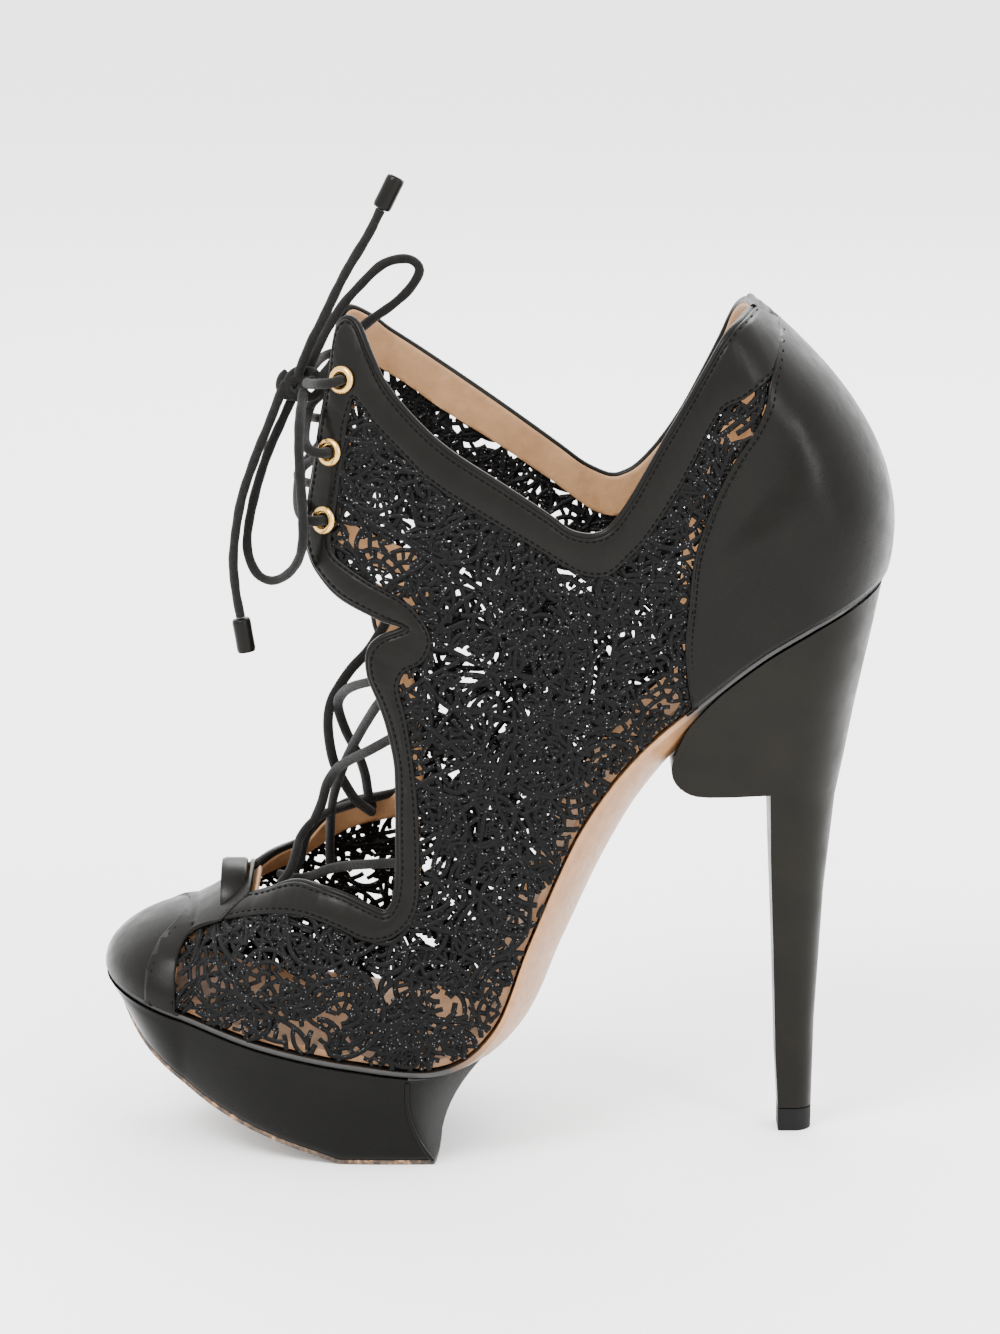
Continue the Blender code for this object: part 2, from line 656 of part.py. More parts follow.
def platform_ring(u, narrow, foot_x, lift, rear):
    """Outline across the platform: its seat under the outsole, two side steps and its underside."""
    _, _, half, centre = foot_frame(u)
    wide = half + PLATFORM_LEDGE if narrow > 0 else 0.0
    wide *= narrow
    seat = []
    for s in ACROSS:
        share = s * wide / half if half > 1e-6 else 0.0
        limited = max(-1.0, min(1.0, share))
        p = sole_point(u, limited, SOLE_EDGE + 2 * GAP)
        p.y = centre + s * wide
        seat.append(p)
    foot_z = tread_height(foot_x) + lift
    foot_wide = wide * PLATFORM_FOOT_SHARE
    sides = []
    for level in (0.4, 0.75, 1.0):
        place = []
        for s in (1, -1):
            top = seat[-1] if s > 0 else seat[0]
            y = top.y + (centre + s * foot_wide - top.y) * level ** 1.8
            hollow = REAR_HOLLOW * LENGTH * rear * 4 * level * (1 - level)
            x = top.x + (foot_x - top.x) * level - hollow
            place.append(Vector((x, y, top.z + (foot_z - top.z) * level)))
        sides.append(place)
    return seat + [far for far, _ in sides] + [near for _, near in reversed(sides)]


def make_platform(shoe):
    rows, rear = platform_stations()
    rings = []
    treads = []
    lift = TREAD + GAP
    for u in rows:
        top_x = foot_frame(u)[0][0]
        share = (top_x + LENGTH / 2) / LENGTH
        foot_share = share + PLATFORM_NOSE * max(0.0, 1 - share / LAST_ROWS[0][0])
        foot_x = foot_share * LENGTH - LENGTH / 2
        rings.append(platform_ring(u, 1.0, foot_x, lift, 0.0))
    for k, share in enumerate(rear):
        narrow = math.cos(k / 5 * math.pi / 2)
        part = (share - REAR_START) / (REAR_END - REAR_START)
        foot_share = REAR_FOOT_START + (REAR_FOOT_END - REAR_FOOT_START) * part
        foot_x = foot_share * LENGTH - LENGTH / 2
        rings.append(platform_ring(row_at(share), narrow if k < 5 else 0.0, foot_x, lift, 1.0))
    loft("platform", rings, shoe, "patent", PATENT, (True, False))
    for ring in rings:
        far, near = ring[len(ACROSS) + 2], ring[len(ACROSS) + 3]
        ground = tread_height(far.x)
        upper_line = [Vector((far.x, y, ground + TREAD)) for y in (near.y, 0.5 * (near.y + far.y), far.y)]
        lower_line = [Vector((far.x, y, ground)) for y in (far.y, 0.5 * (near.y + far.y), near.y)]
        treads.append(upper_line + lower_line)
    loft("platform_tread", treads, shoe, "tan", TAN, (True, False))


def heel_envelope(collection):
    """Block with round back that tapers to the tip, in plan sections."""
    rings = []
    for z, back, half, depth in HEEL_SECTIONS:
        wide = half * BALL_WIDTH
        deep = depth * BALL_WIDTH
        x_back = back * LENGTH - LENGTH / 2
        x_front = 0.66 * LENGTH - LENGTH / 2
        turns = [math.pi / 2 * k / 4 for k in range(5)]
        far = [(x_back - deep + deep * math.cos(a), wide * math.sin(a)) for a in turns]
        near = [(x, -y) for x, y in reversed(far[1:])]
        plan = [(x_front, -0.96 * wide)] + near + far + [(x_front, 0.96 * wide)]
        rings.append([Vector((x, y, z * COLLAR_HEIGHT)) for x, y in plan])
    return as_cutter(loft("heel_envelope", rings, collection))


def foot_space(collection):
    """All the space above the outsole's underside at the back half of the shoe."""
    wide = (-1.6, *ACROSS, 1.6)
    high = 0.06
    rings = []
    stations = [6.0 + 0.5 * k for k in range(int((LAST_ROW - 6) * 2) + 1)]
    for u in stations:
        _, _, half, centre = foot_frame(u)
        line = []
        for s in wide:
            p = sole_point(u, max(-1.0, min(1.0, s)), SOLE_EDGE + 3 * GAP)
            p.y = centre + s * half
            line.append(p)
        _, out, _, _ = foot_frame(u)
        lifted = [p - Vector((out[0], 0, out[1])) * high for p in reversed(line)]
        rings.append(line + lifted)
    place, out, _, _ = foot_frame(LAST_ROW + 0.999)
    first = place + out * (SOLE_EDGE + 3 * GAP)
    shift = Vector((first[0], 0, first[1])) - Vector((rings[-1][0].x, 0, rings[-1][0].z))
    rings.append([p + shift * 2 for p in rings[-1]])
    return as_cutter(loft("foot_space", rings, collection))


def make_heel(shoe, cutters):
    envelope = heel_envelope(cutters)
    space = foot_space(cutters)
    foot = (HEEL_TIP_HEIGHT + GAP) / COLLAR_HEIGHT
    block_outline = ((HEEL_TIP_FRONT, foot), *HEEL_OUTLINE, (1.05, foot))
    block = prism("heel_block", block_outline, shoe)
    block.hide_render = False
    block.display_type = "TEXTURED"
    block.data.materials.append(material("heel", HEEL_BLACK))
    cut(block, envelope, "INTERSECT")
    cut(block, space)
    top = HEEL_TIP_HEIGHT / COLLAR_HEIGHT
    tip_outline = ((HEEL_TIP_FRONT, 0.0), (1.05, 0.0), (1.05, top), (HEEL_TIP_FRONT, top))
    tip = prism("heel_tip", tip_outline, shoe)
    tip.hide_render = False
    tip.display_type = "TEXTURED"
    tip.data.materials.append(material("rubber", RUBBER))
    cut(tip, envelope, "INTERSECT")


# Laces and small pieces

def make_eyelets(shoe):
    for side, word in ((-1, "near"), (1, "far")):
        for k, (u, v, seat) in enumerate(EYELETS):
            direction = last_normal(u, v, side)
            centre = last_point(u, v, side) + direction * (2 * GAP + OVERLAY + EYELET_WIRE - seat)
            bpy.ops.mesh.primitive_torus_add(major_segments=16, minor_segments=6, major_radius=EYELET_RADIUS,
                                             minor_radius=EYELET_WIRE, location=centre,
                                             rotation=direction.to_track_quat("Z", "Y").to_euler())
            ring = bpy.context.active_object
            ring.name = f"eyelet_{word}_{k + 1}"
            ring.data.name = ring.name
            ring.data.shade_smooth()
            ring.data.materials.append(material("gold", GOLD))
            into_collection(ring, shoe)


def make_tab(shoe):
    """Leather loop over the front end of the throat."""
    base = 2 * GAP + OVERLAY
    rings = []
    for u in (0.42, 0.58, 0.74):
        inner = []
        outer = []
        steps = 9
        for k in range(steps):
            t = k / (steps - 1)
            side = -1 if t < 0.5 else 1
            v = 0.80 + 0.19 * (1 - abs(2 * t - 1))
            rise = base + TAB_RISE * math.sin(math.pi * t)
            p = last_point(u, v, side)
            normal = last_normal(u, min(v, 0.97), side)
            if k == steps // 2:
                p = last_point(u, 2, 1)
                normal = Vector((-0.25, 0.0, 0.97)).normalized()
            inner.append(p + normal * rise)
            outer.append(p + normal * (rise + TAB_THICKNESS))
        rings.append(inner + outer[::-1])
    loft("throat_tab", rings, shoe, "leather", BLACK_LEATHER)


def hook(u, v, side):
    """Place for a lace just inside the upper's wall."""
    return tuple(on_last(u, v, side, -(WALL + GAP + LACE_RADIUS + 0.0004)))


def outside(k, side):
    """Place for a lace just outside an eyelet."""
    u, v, _ = EYELETS[k]
    return tuple(on_last(u, v, side, 4 * GAP + OVERLAY + 2 * EYELET_WIRE + LACE_RADIUS + 0.0003))


def inside(k, side):
    """Place for a lace just inside the wall at an eyelet."""
    u, v, _ = EYELETS[k]
    return hook(u, v, side)


def join_bars(name, routes, shoe, cutters):
    """Laces that cross, joined into one body."""
    bars = []
    for k, route in enumerate(routes):
        bar = round_bar(name if k == 0 else f"{name}_{k}", route, LACE_RADIUS, cutters, LACE_BLACK)
        bars.append(curve_to_mesh(bar, cutters))
    first = bars[0]
    cutters.objects.unlink(first)
    shoe.objects.link(first)
    for other in bars[1:]:
        cut(first, as_cutter(other), "UNION")
    return first


def mirror(route):
    """The other side's lace, a little in front so that the two never share an edge."""
    return [(x - LACE_SHIFT, -y, z) for x, y, z in route]


def placed(shares):
    """Places from shares of LENGTH, counted from the middle, BALL_WIDTH and COLLAR_HEIGHT."""
    return [(x * LENGTH, y * BALL_WIDTH, z * COLLAR_HEIGHT) for x, y, z in shares]


def beside_knot(x, y, z):
    """Place where a lace meets the knot."""
    return KNOT[0] + x, KNOT[1] + y, KNOT[2] + z


def make_vamp_laces(shoe, cutters):
    """Two laces that zigzag over the vamp opening, hooked inside the trims, and cross three times."""
    top = ((-0.1992, -0.1688, 0.5538), (-0.2141, 0.0, 0.5193), (-0.2017, 0.1688, 0.4871))
    turned = ((-0.1992, 0.1688, 0.5538), (-0.2141, 0.0, 0.5193), (-0.2017, -0.1688, 0.4871))
    middle = ((-0.1917, 0.2078, 0.4642), (-0.2141, 0.0, 0.4435), (-0.2067, -0.2078, 0.4067))
    middle_two = ((-0.1917, -0.2078, 0.4642), (-0.2141, 0.0, 0.4435), (-0.2067, 0.2078, 0.4159))
    front = ((-0.2191, -0.2208, 0.3837), (-0.2366, 0.0, 0.3722), (-0.2689, 0.1039, 0.3470),
             (-0.3088, 0.0519, 0.3286))
    front_two = ((-0.2166, 0.2208, 0.3952), (-0.2366, 0.0, 0.3722), (-0.2689, -0.1039, 0.3470),
                 (-0.3088, -0.0519, 0.3286))
    one = [hook(5.30, 0.53, -1), *placed(top), hook(4.75, 0.47, 1), *placed(middle), hook(3.95, 0.41, -1),
           *placed(front)]
    two = [hook(5.30, 0.53, 1), *placed(turned), hook(4.85, 0.47, -1), *placed(middle_two),
           hook(4.10, 0.42, 1), *placed(front_two)]
    join_bars("lace_vamp", (one, two), shoe, cutters)


def make_ankle_laces(shoe, cutters):
    """Laces that leave each eyelet outwards, cross in front of the ankle and pass behind the other flap."""
    low_front = ((-0.2400, -0.2922, 0.7656), (-0.2480, -0.1818, 0.7767), (-0.2465, 0.0, 0.7996),
                 (-0.2281, 0.0974, 0.8203), (-0.2092, 0.1753, 0.8341))
    high_front = ((-0.2321, -0.2857, 0.8447), (-0.2390, -0.1688, 0.8539), (-0.2341, 0.0, 0.8755),
                  (-0.2151, 0.0805, 0.8971), (-0.1952, 0.1494, 0.9154))
    low = [outside(2, -1), *placed(low_front), inside(1, 1)]
    high = [outside(1, -1), *placed(high_front), inside(0, 1)]
    join_bars("lace_cross_low", (low, mirror(low)), shoe, cutters)
    join_bars("lace_cross_high", (high, mirror(high)), shoe, cutters)
    tie_front = ((-0.2151, -0.2805, 0.9219), (-0.2291, -0.1818, 0.9145))
    far_front = ((-0.2151, 0.2805, 0.9219), (-0.2291, 0.1688, 0.9145))
    tie = [outside(0, -1), *placed(tie_front), beside_knot(0.0018, -0.0038, 0.0009)]
    far_tie = [outside(0, 1), *placed(far_front), beside_knot(0.0002, 0.0039, -0.0010)]
    round_bar("lace_tie_near", tie, LACE_RADIUS, shoe, LACE_BLACK)
    round_bar("lace_tie_far", far_tie, LACE_RADIUS, shoe, LACE_BLACK)


# Knot, loops and ends, which hang free

KNOT = (-0.0492, -0.0060, 0.1976)
LOOP_UPPER = (
    (-0.0475, -0.0036, 0.2006), (-0.0434, 0.0012, 0.2088), (-0.0393, 0.0040, 0.2153), (-0.0347, 0.0040, 0.2207),
    (-0.0284, 0.0040, 0.2266), (-0.0222, 0.0040, 0.2279), (-0.0192, 0.0040, 0.2253), (-0.0214, 0.0040, 0.2207),
    (-0.0258, 0.0040, 0.2164), (-0.0322, 0.0040, 0.2118), (-0.0375, 0.0032, 0.2070), (-0.0412, -0.0010, 0.2022),
    (-0.0443, -0.0050, 0.1987),
)
LOOP_LOWER = (
    (-0.0484, -0.0094, 0.1956), (-0.0489, -0.0190, 0.1915), (-0.0490, -0.0255, 0.1850), (-0.0486, -0.0282, 0.1775),
    (-0.0481, -0.0285, 0.1690), (-0.0482, -0.0265, 0.1610), (-0.0498, -0.0220, 0.1550), (-0.0530, -0.0170, 0.1505),
    (-0.0570, -0.0135, 0.1485), (-0.0608, -0.0115, 0.1505), (-0.0629, -0.0100, 0.1571), (-0.0613, -0.0090, 0.1679),
    (-0.0577, -0.0080, 0.1798), (-0.0534, -0.0075, 0.1895), (-0.0515, -0.0066, 0.1936),
)
END_UPPER = (
    (-0.0490, -0.0060, 0.2019), (-0.0464, -0.0060, 0.2084), (-0.0433, -0.0060, 0.2144), (-0.0402, -0.0060, 0.2209),
    (-0.0371, -0.0060, 0.2269), (-0.0318, -0.0060, 0.2357), (-0.0288, -0.0060, 0.2418),
)
END_LOWER = (
    (-0.0538, -0.0078, 0.1964), (-0.0572, -0.0122, 0.1880), (-0.0606, -0.0135, 0.1797), (-0.0642, -0.0135, 0.1688),
    (-0.0662, -0.0135, 0.1556), (-0.0658, -0.0130, 0.1462), (-0.0646, -0.0130, 0.1390),
)
END_POINTS = (("upper", END_UPPER), ("lower", END_LOWER))


def make_free_laces(shoe):
    bpy.ops.mesh.primitive_uv_sphere_add(segments=12, ring_count=8, radius=0.5, location=KNOT)
    knot = bpy.context.active_object
    knot.name = "lace_knot"
    knot.data.name = knot.name
    knot.scale = KNOT_SIZE
    knot.data.shade_smooth()
    knot.data.materials.append(material("lace", LACE_BLACK))
    into_collection(knot, shoe)
    round_bar("loop_upper", LOOP_UPPER, LACE_RADIUS, shoe, LACE_BLACK)
    round_bar("loop_lower", LOOP_LOWER, LACE_RADIUS, shoe, LACE_BLACK)
    for word, route in END_POINTS:
        round_bar(f"end_{word}", route, LACE_RADIUS, shoe, LACE_BLACK)
        last = Vector(route[-1])
        direction = (last - Vector(route[-2])).normalized()
        centre = last + direction * (GAP + AGLET_LENGTH / 2)
        bpy.ops.mesh.primitive_cylinder_add(vertices=16, radius=AGLET_RADIUS, depth=AGLET_LENGTH, location=centre,
                                            rotation=direction.to_track_quat("Z", "Y").to_euler())
        aglet = bpy.context.active_object
        aglet.name = f"aglet_{word}"
        aglet.data.name = aglet.name
        aglet.data.shade_smooth()
        aglet.data.set_sharp_from_angle(angle=math.radians(40))
        aglet.data.materials.append(material("leather", BLACK_LEATHER))
        into_collection(aglet, shoe)


def main():
    clear_scene()
    shoe = new_collection("lace_up_heel")
    cutters = new_collection("cutters")
    make_upper(shoe, cutters)
    sole_layer("outsole", shoe, GAP, GAP + SOLE_EDGE, 1.0, 0.0, "tan", TAN)
    sole_layer("insole", shoe, -GAP - INSOLE_THICKNESS, -GAP, 0.0, INSOLE_INSET, "tan", TAN)
    make_platform(shoe)
    make_heel(shoe, cutters)
    make_eyelets(shoe)
    make_tab(shoe)
    make_vamp_laces(shoe, cutters)
    make_ankle_laces(shoe, cutters)
    make_free_laces(shoe)


main()
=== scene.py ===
"""Looks of the lace-up platform heel: net of cords, leather trims, linings, laces, soles and heel.

Metres, +Z up, toe towards -X, the outer side of the foot towards -Y, as in the frame.
"""
import math

import bmesh
import bpy
import numpy as np
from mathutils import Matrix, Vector
from mathutils.kdtree import KDTree


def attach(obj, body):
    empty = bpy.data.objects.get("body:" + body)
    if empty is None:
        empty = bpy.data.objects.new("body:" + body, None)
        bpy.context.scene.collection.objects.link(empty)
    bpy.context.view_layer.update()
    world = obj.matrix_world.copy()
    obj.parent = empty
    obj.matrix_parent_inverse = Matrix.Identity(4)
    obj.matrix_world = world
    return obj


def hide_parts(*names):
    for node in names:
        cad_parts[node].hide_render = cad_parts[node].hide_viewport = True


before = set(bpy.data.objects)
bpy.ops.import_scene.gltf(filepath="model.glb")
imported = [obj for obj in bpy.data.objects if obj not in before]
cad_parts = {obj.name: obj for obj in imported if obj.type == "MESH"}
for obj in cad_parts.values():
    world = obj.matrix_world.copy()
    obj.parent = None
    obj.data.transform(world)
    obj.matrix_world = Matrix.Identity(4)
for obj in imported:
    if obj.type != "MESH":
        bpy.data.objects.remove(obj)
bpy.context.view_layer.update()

# Driving sizes, as in the solids
LENGTH = 0.2008
COLLAR_HEIGHT = 0.2176
BALL_WIDTH = 0.077
WALL = 0.0016
GAP = 0.0003
INSOLE_THICKNESS = 0.0018
INSOLE_INSET = 0.0038
SOLE_EDGE = 0.0012
PLATFORM_LEDGE = 0.0016
TREAD = 0.0012
HEEL_TIP_HEIGHT = 0.006
EYELET_RADIUS = 0.0026
LACE_RADIUS = 0.00135
AGLET_RADIUS = 0.0024

SIDES = ((-1, "near"), (1, "far"))

# Finish sizes
TRIM_HEIGHT = 0.0012
STITCH_INSET = 0.0012
STITCH_PITCH = 0.0017
STITCH_LENGTH = 0.0011
STITCH_RADIUS = 0.00021
EDGE_ROLL = 0.000495
EDGE_HEIGHT = 0.0009
COUNTER_START = 6.9
COUNTER_TOP = 0.9985
COUNTER_LIFT = 0.0002
COUNTER_WALL = 0.0011
CAP_LIFT = 0.0001
CAP_WALL = 0.0009
BAND_LIFT = 0.0003
BAND_WALL = 0.0012
COUNTER_LINING = (-0.0022, 0.0009)
TOE_LINING = (-0.0020, 0.0008)
LACE_SHIFT = 0.0004
LACE_SIDES = 12
NET_SEED = 41
NET_MARGIN = 0.004
NET_LOWEST = 0.02
NET_MISS = 0.0008
GAP_CORDS = 420
ROSETTE_SPACING = 0.0088
FLOW_SPACING = 0.0100
NET_TUCK = 0.0022
CORD_WIDTH = 0.00070
CORD_HEIGHT = 0.00055
CORD_STEP = 0.0013
CELL = 0.0005
LINE_STEP = 0.0010

# Camera: the photo's angle, fitted with the pixels of a frame 1000 wide
PHOTO_SIZE = (1000, 1334)
FOCAL_PIXELS = 5460.0
CAMERA_DISTANCE = 1.4
CAMERA_RISE = math.radians(13.0)
CAMERA_TARGET = Vector((0.00115, 0.0, 0.12294))
SENSOR = 36.0

# Studio: strength of the surroundings, then name, place, aim, size in metres and watts of each light
SURROUND = 3.2
LIGHTS = (
    ("key", (-0.7, -0.9, 1.3), (0, 0, 0.08), (0.7, 0.5), 34),
    ("fill", (0.9, -1.0, 0.7), (0, 0, 0.12), (0.35, 0.9), 12),
    ("back", (0.2, 1.2, 1.1), (0, 0, 0.1), (1.2, 0.6), 20),
)

# foot x, foot z, top x, top z, bow, foot half width, belly half width, belly at, top half width, centre
LAST_ROWS = (
    (0.102, 0.174, 0.117, 0.273, 0.000, 0.370, 0.372, 0.10, 0.010, 0.035),
    (0.201, 0.149, 0.191, 0.319, 0.000, 0.461, 0.470, 0.20, 0.010, 0.015),
    (0.316, 0.130, 0.256, 0.400, 0.000, 0.494, 0.500, 0.20, 0.010, 0.000),
    (0.430, 0.122, 0.276, 0.496, 0.000, 0.481, 0.487, 0.20, 0.010, -0.005),
    (0.498, 0.165, 0.271, 0.597, 0.000, 0.429, 0.455, 0.30, 0.010, -0.010),
    (0.542, 0.262, 0.241, 0.699, 0.000, 0.364, 0.435, 0.40, 0.010, -0.010),
    (0.605, 0.390, 0.246, 0.818, 0.004, 0.318, 0.422, 0.45, 0.020, -0.005),
    (0.674, 0.478, 0.286, 0.997, 0.010, 0.305, 0.416, 0.45, 0.060, 0.000),
    (0.754, 0.545, 0.430, 1.039, 0.030, 0.305, 0.409, 0.40, 0.300, 0.000),
    (0.829, 0.602, 0.600, 1.048, 0.060, 0.325, 0.409, 0.35, 0.325, 0.000),
    (0.898, 0.643, 0.729, 1.029, 0.090, 0.338, 0.416, 0.35, 0.310, 0.000),
)
TOE_TIP = (0.000, 0.203, 0.000, 0.267, 0.000, 0.370, 0.372, 0.10, 0.010, 0.050)
HEEL_BACK = (0.9935, 0.692, 0.823, 1.000, 0.125, 0.338, 0.416, 0.35, 0.310, 0.000)
LAST_ROW = len(LAST_ROWS) - 1

# How far the middle of the outsole stands below its edges: row of the last, share of BALL_WIDTH
CROWN = ((-1.0, 0.000), (0.0, 0.004), (2.0, 0.010), (3.0, 0.045), (3.6, 0.085), (4.5, 0.105),
         (6.0, 0.118), (7.5, 0.100), (8.5, 0.060), (9.5, 0.020), (11.0, 0.000))

# Edge of the throat, ankle flap and collar, and the seam of the net beside it, from the front of the
# throat over the ankle to the back: edge near x, z, edge far x, z, seam near x, z, seam far x, z. The
# flap's rows are the same on both sides: edge x, z, seam x, z
THROAT_BAND = (
    (0.180, 0.301, 0.180, 0.303, 0.154, 0.275, 0.154, 0.275),
    (0.212, 0.317, 0.207, 0.318, 0.200, 0.290, 0.200, 0.290),
    (0.247, 0.333, 0.244, 0.325, 0.238, 0.298, 0.234, 0.299),
    (0.276, 0.333, 0.268, 0.348, 0.270, 0.297, 0.262, 0.315),
    (0.309, 0.327, 0.296, 0.367, 0.304, 0.288, 0.295, 0.332),
    (0.338, 0.316, 0.325, 0.372, 0.335, 0.276, 0.333, 0.341),
    (0.360, 0.309, 0.350, 0.374, 0.364, 0.277, 0.358, 0.344),
    (0.371, 0.318, 0.370, 0.378, 0.389, 0.293, 0.385, 0.352),
    (0.376, 0.335, 0.378, 0.390, 0.403, 0.320, 0.400, 0.372),
    (0.378, 0.365, 0.380, 0.405, 0.406, 0.366, 0.406, 0.396),
    (0.378, 0.409, 0.380, 0.425, 0.405, 0.411, 0.405, 0.420),
)
FLAP_BAND = (
    (0.378, 0.456, 0.402, 0.456), (0.376, 0.490, 0.396, 0.501), (0.366, 0.531, 0.389, 0.541),
    (0.355, 0.560, 0.383, 0.562), (0.343, 0.587, 0.381, 0.578), (0.342, 0.613, 0.390, 0.594),
    (0.356, 0.630, 0.412, 0.606), (0.388, 0.645, 0.421, 0.634), (0.355, 0.656, 0.396, 0.671),
    (0.307, 0.676, 0.344, 0.698), (0.281, 0.698, 0.312, 0.716), (0.268, 0.718, 0.299, 0.728),
    (0.263, 0.745, 0.297, 0.743), (0.267, 0.780, 0.303, 0.775), (0.275, 0.828, 0.312, 0.829),
)
COLLAR_BAND = (
    (0.284, 0.880, 0.284, 0.880, 0.317, 0.868, 0.317, 0.872),
    (0.295, 0.929, 0.295, 0.929, 0.320, 0.886, 0.320, 0.898),
    (0.300, 0.965, 0.299, 0.957, 0.322, 0.895, 0.322, 0.908),
    (0.306, 0.985, 0.304, 0.975, 0.324, 0.900, 0.324, 0.915),
    (0.316, 0.993, 0.312, 0.982, 0.326, 0.903, 0.326, 0.920),
    (0.328, 0.986, 0.322, 0.979, 0.330, 0.899, 0.330, 0.918),
    (0.344, 0.953, 0.344, 0.965, 0.338, 0.890, 0.340, 0.911),
    (0.361, 0.923, 0.361, 0.951, 0.352, 0.873, 0.356, 0.900),
    (0.394, 0.887, 0.394, 0.929, 0.378, 0.848, 0.386, 0.881),
    (0.439, 0.850, 0.439, 0.899, 0.420, 0.811, 0.430, 0.850),
    (0.508, 0.809, 0.508, 0.853, 0.488, 0.771, 0.498, 0.809),
    (0.565, 0.774, 0.580, 0.804, 0.553, 0.735, 0.570, 0.763),
    (0.588, 0.758, 0.610, 0.783, 0.586, 0.716, 0.600, 0.742),
    (0.607, 0.752, 0.635, 0.771, 0.612, 0.705, 0.628, 0.724),
    (0.625, 0.752, 0.650, 0.767, 0.640, 0.705, 0.656, 0.718),
    (0.644, 0.761, 0.664, 0.769, 0.664, 0.723, 0.674, 0.724),
    (0.670, 0.794, 0.685, 0.780, 0.692, 0.752, 0.697, 0.742),
    (0.708, 0.857, 0.713, 0.808, 0.730, 0.808, 0.728, 0.766),
    (0.737, 0.903, 0.741, 0.846, 0.756, 0.855, 0.755, 0.804),
    (0.764, 0.947, 0.766, 0.889, 0.781, 0.896, 0.780, 0.848),
    (0.788, 0.983, 0.790, 0.934, 0.812, 0.912, 0.812, 0.892),
    (0.812, 0.998, 0.812, 0.980, 0.850, 0.944, 0.850, 0.936),
    (0.826, 0.9985, 0.826, 0.9985, 0.868, 0.990, 0.868, 0.990),
)
TRIM_BAND = THROAT_BAND + tuple(
    (x, z, x, z, seam_x, seam_z, seam_x, seam_z) for x, z, seam_x, seam_z in FLAP_BAND) + COLLAR_BAND

# Rest of the seam round the net, from the back down the counter's front edge, along the sole and up
# the toe band: near x, z, far x, z, or x, z where both sides are the same
COUNTER_FRONT = (
    (0.862, 1.000, 0.862, 1.000),
    (0.852, 0.975, 0.852, 0.975),
    (0.843, 0.940, 0.843, 0.930),
    (0.838, 0.921, 0.838, 0.908),
    (0.835, 0.900, 0.835, 0.890),
    (0.822, 0.872, 0.822, 0.865),
    (0.801, 0.843, 0.801, 0.838),
    (0.783, 0.812, 0.783, 0.808),
    (0.766, 0.776, 0.766, 0.774),
    (0.749, 0.724, 0.749, 0.724),
    (0.743, 0.666, 0.743, 0.666),
    (0.739, 0.618, 0.739, 0.618),
    (0.743, 0.572, 0.743, 0.572),
    (0.752, 0.530, 0.752, 0.530),
    (0.765, 0.495, 0.765, 0.495),
)
TOE_BAND_REAR = (
    (0.093, 0.120), (0.092, 0.180), (0.092, 0.221), (0.102, 0.249), (0.123, 0.262), (0.154, 0.275),
)
THROAT_FRONT = ((0.188, 0.302), (0.194, 0.330))
TOE_BAND_FRONT = (
    (0.058, 0.100), (0.058, 0.205), (0.063, 0.228), (0.074, 0.248), (0.092, 0.262), (0.112, 0.276),
)

# Platform sole from the toe back to the arch: x, z of its underside
TREAD_LINE = (
    (0.003, 0.190), (0.018, 0.170), (0.046, 0.130), (0.073, 0.106), (0.092, 0.092), (0.124, 0.069),
    (0.151, 0.054), (0.188, 0.037), (0.238, 0.019), (0.277, 0.008), (0.300, 0.000), (0.440, 0.000),
)
PLATFORM_FOOT_SHARE = 0.84
PLATFORM_NOSE = 0.012
REAR_START = 0.390
REAR_END = 0.474
REAR_FOOT_START = 0.420
REAR_FOOT_END = 0.431
REAR_HOLLOW = 0.012

# Heel block. Side outline: x, z. Plan sections: z, back x, half width, depth of the round back
HEEL_OUTLINE = (
    (0.862, 0.090), (0.857, 0.228), (0.852, 0.340), (0.8495, 0.424), (0.803, 0.4215),
    (0.772, 0.421), (0.757, 0.422), (0.748, 0.4245), (0.741, 0.428), (0.734, 0.4332), (0.729, 0.439),
    (0.7252, 0.446), (0.7235, 0.453), (0.7233, 0.460), (0.7245, 0.468), (0.728, 0.478), (0.732, 0.488),
    (0.740, 0.506), (0.760, 0.535), (0.700, 0.700), (1.050, 0.760),
)
HEEL_TIP_FRONT = 0.866
HEEL_PAST = 1.05
HEEL_SECTIONS = (
    (-0.010, 0.9095, 0.063, 0.058),
    (0.030, 0.9100, 0.066, 0.060),
    (0.138, 0.9125, 0.079, 0.070),
    (0.299, 0.9225, 0.112, 0.104),
    (0.414, 0.9355, 0.165, 0.135),
    (0.460, 0.9455, 0.215, 0.160),
    (0.519, 0.9570, 0.275, 0.185),
    (0.560, 0.9660, 0.318, 0.205),
    (0.620, 0.9800, 0.342, 0.225),
    (0.692, 0.9955, 0.348, 0.243),
    (0.770, 1.0150, 0.350, 0.250),
)

# Creases of the counter: x, z, length, width, depth and lean
COUNTER_CREASES = (
    (0.0640, 0.1700, 0.0160, 0.0040, -0.0012, 0.9),
    (0.0670, 0.1590, 0.0150, 0.0035, 0.0009, 1.0),
    (0.0600, 0.1520, 0.0120, 0.0032, -0.0010, 0.8),
    (0.0690, 0.1850, 0.0120, 0.0040, -0.0008, 1.1),
    (0.0570, 0.1350, 0.0160, 0.0045, 0.0006, 1.2),
)

# Throat loop: x of its rim from front to back, its middle y and z, half width and height
TAB_RIM = (-0.0707, -0.0698, -0.0650, -0.0643)
TAB_MIDDLE = (0.001, 0.0590)
TAB_REACH = (0.0122, 0.0112)

# Eyelets down the ankle flap: row and height on the last
EYELETS = ((6.83, 0.788), (6.40, 0.775), (5.97, 0.7625))

# Profile of an eyelet: distance past its radius, height
EYELET_PROFILE = (
    (-0.0014, -0.0026), (-0.0012, 0.0), (-0.0008, 0.0005), (-0.0002, 0.0008), (0.0004, 0.00075),
    (0.0009, 0.0004), (0.0010, -0.0001), (0.0006, -0.0003),
)

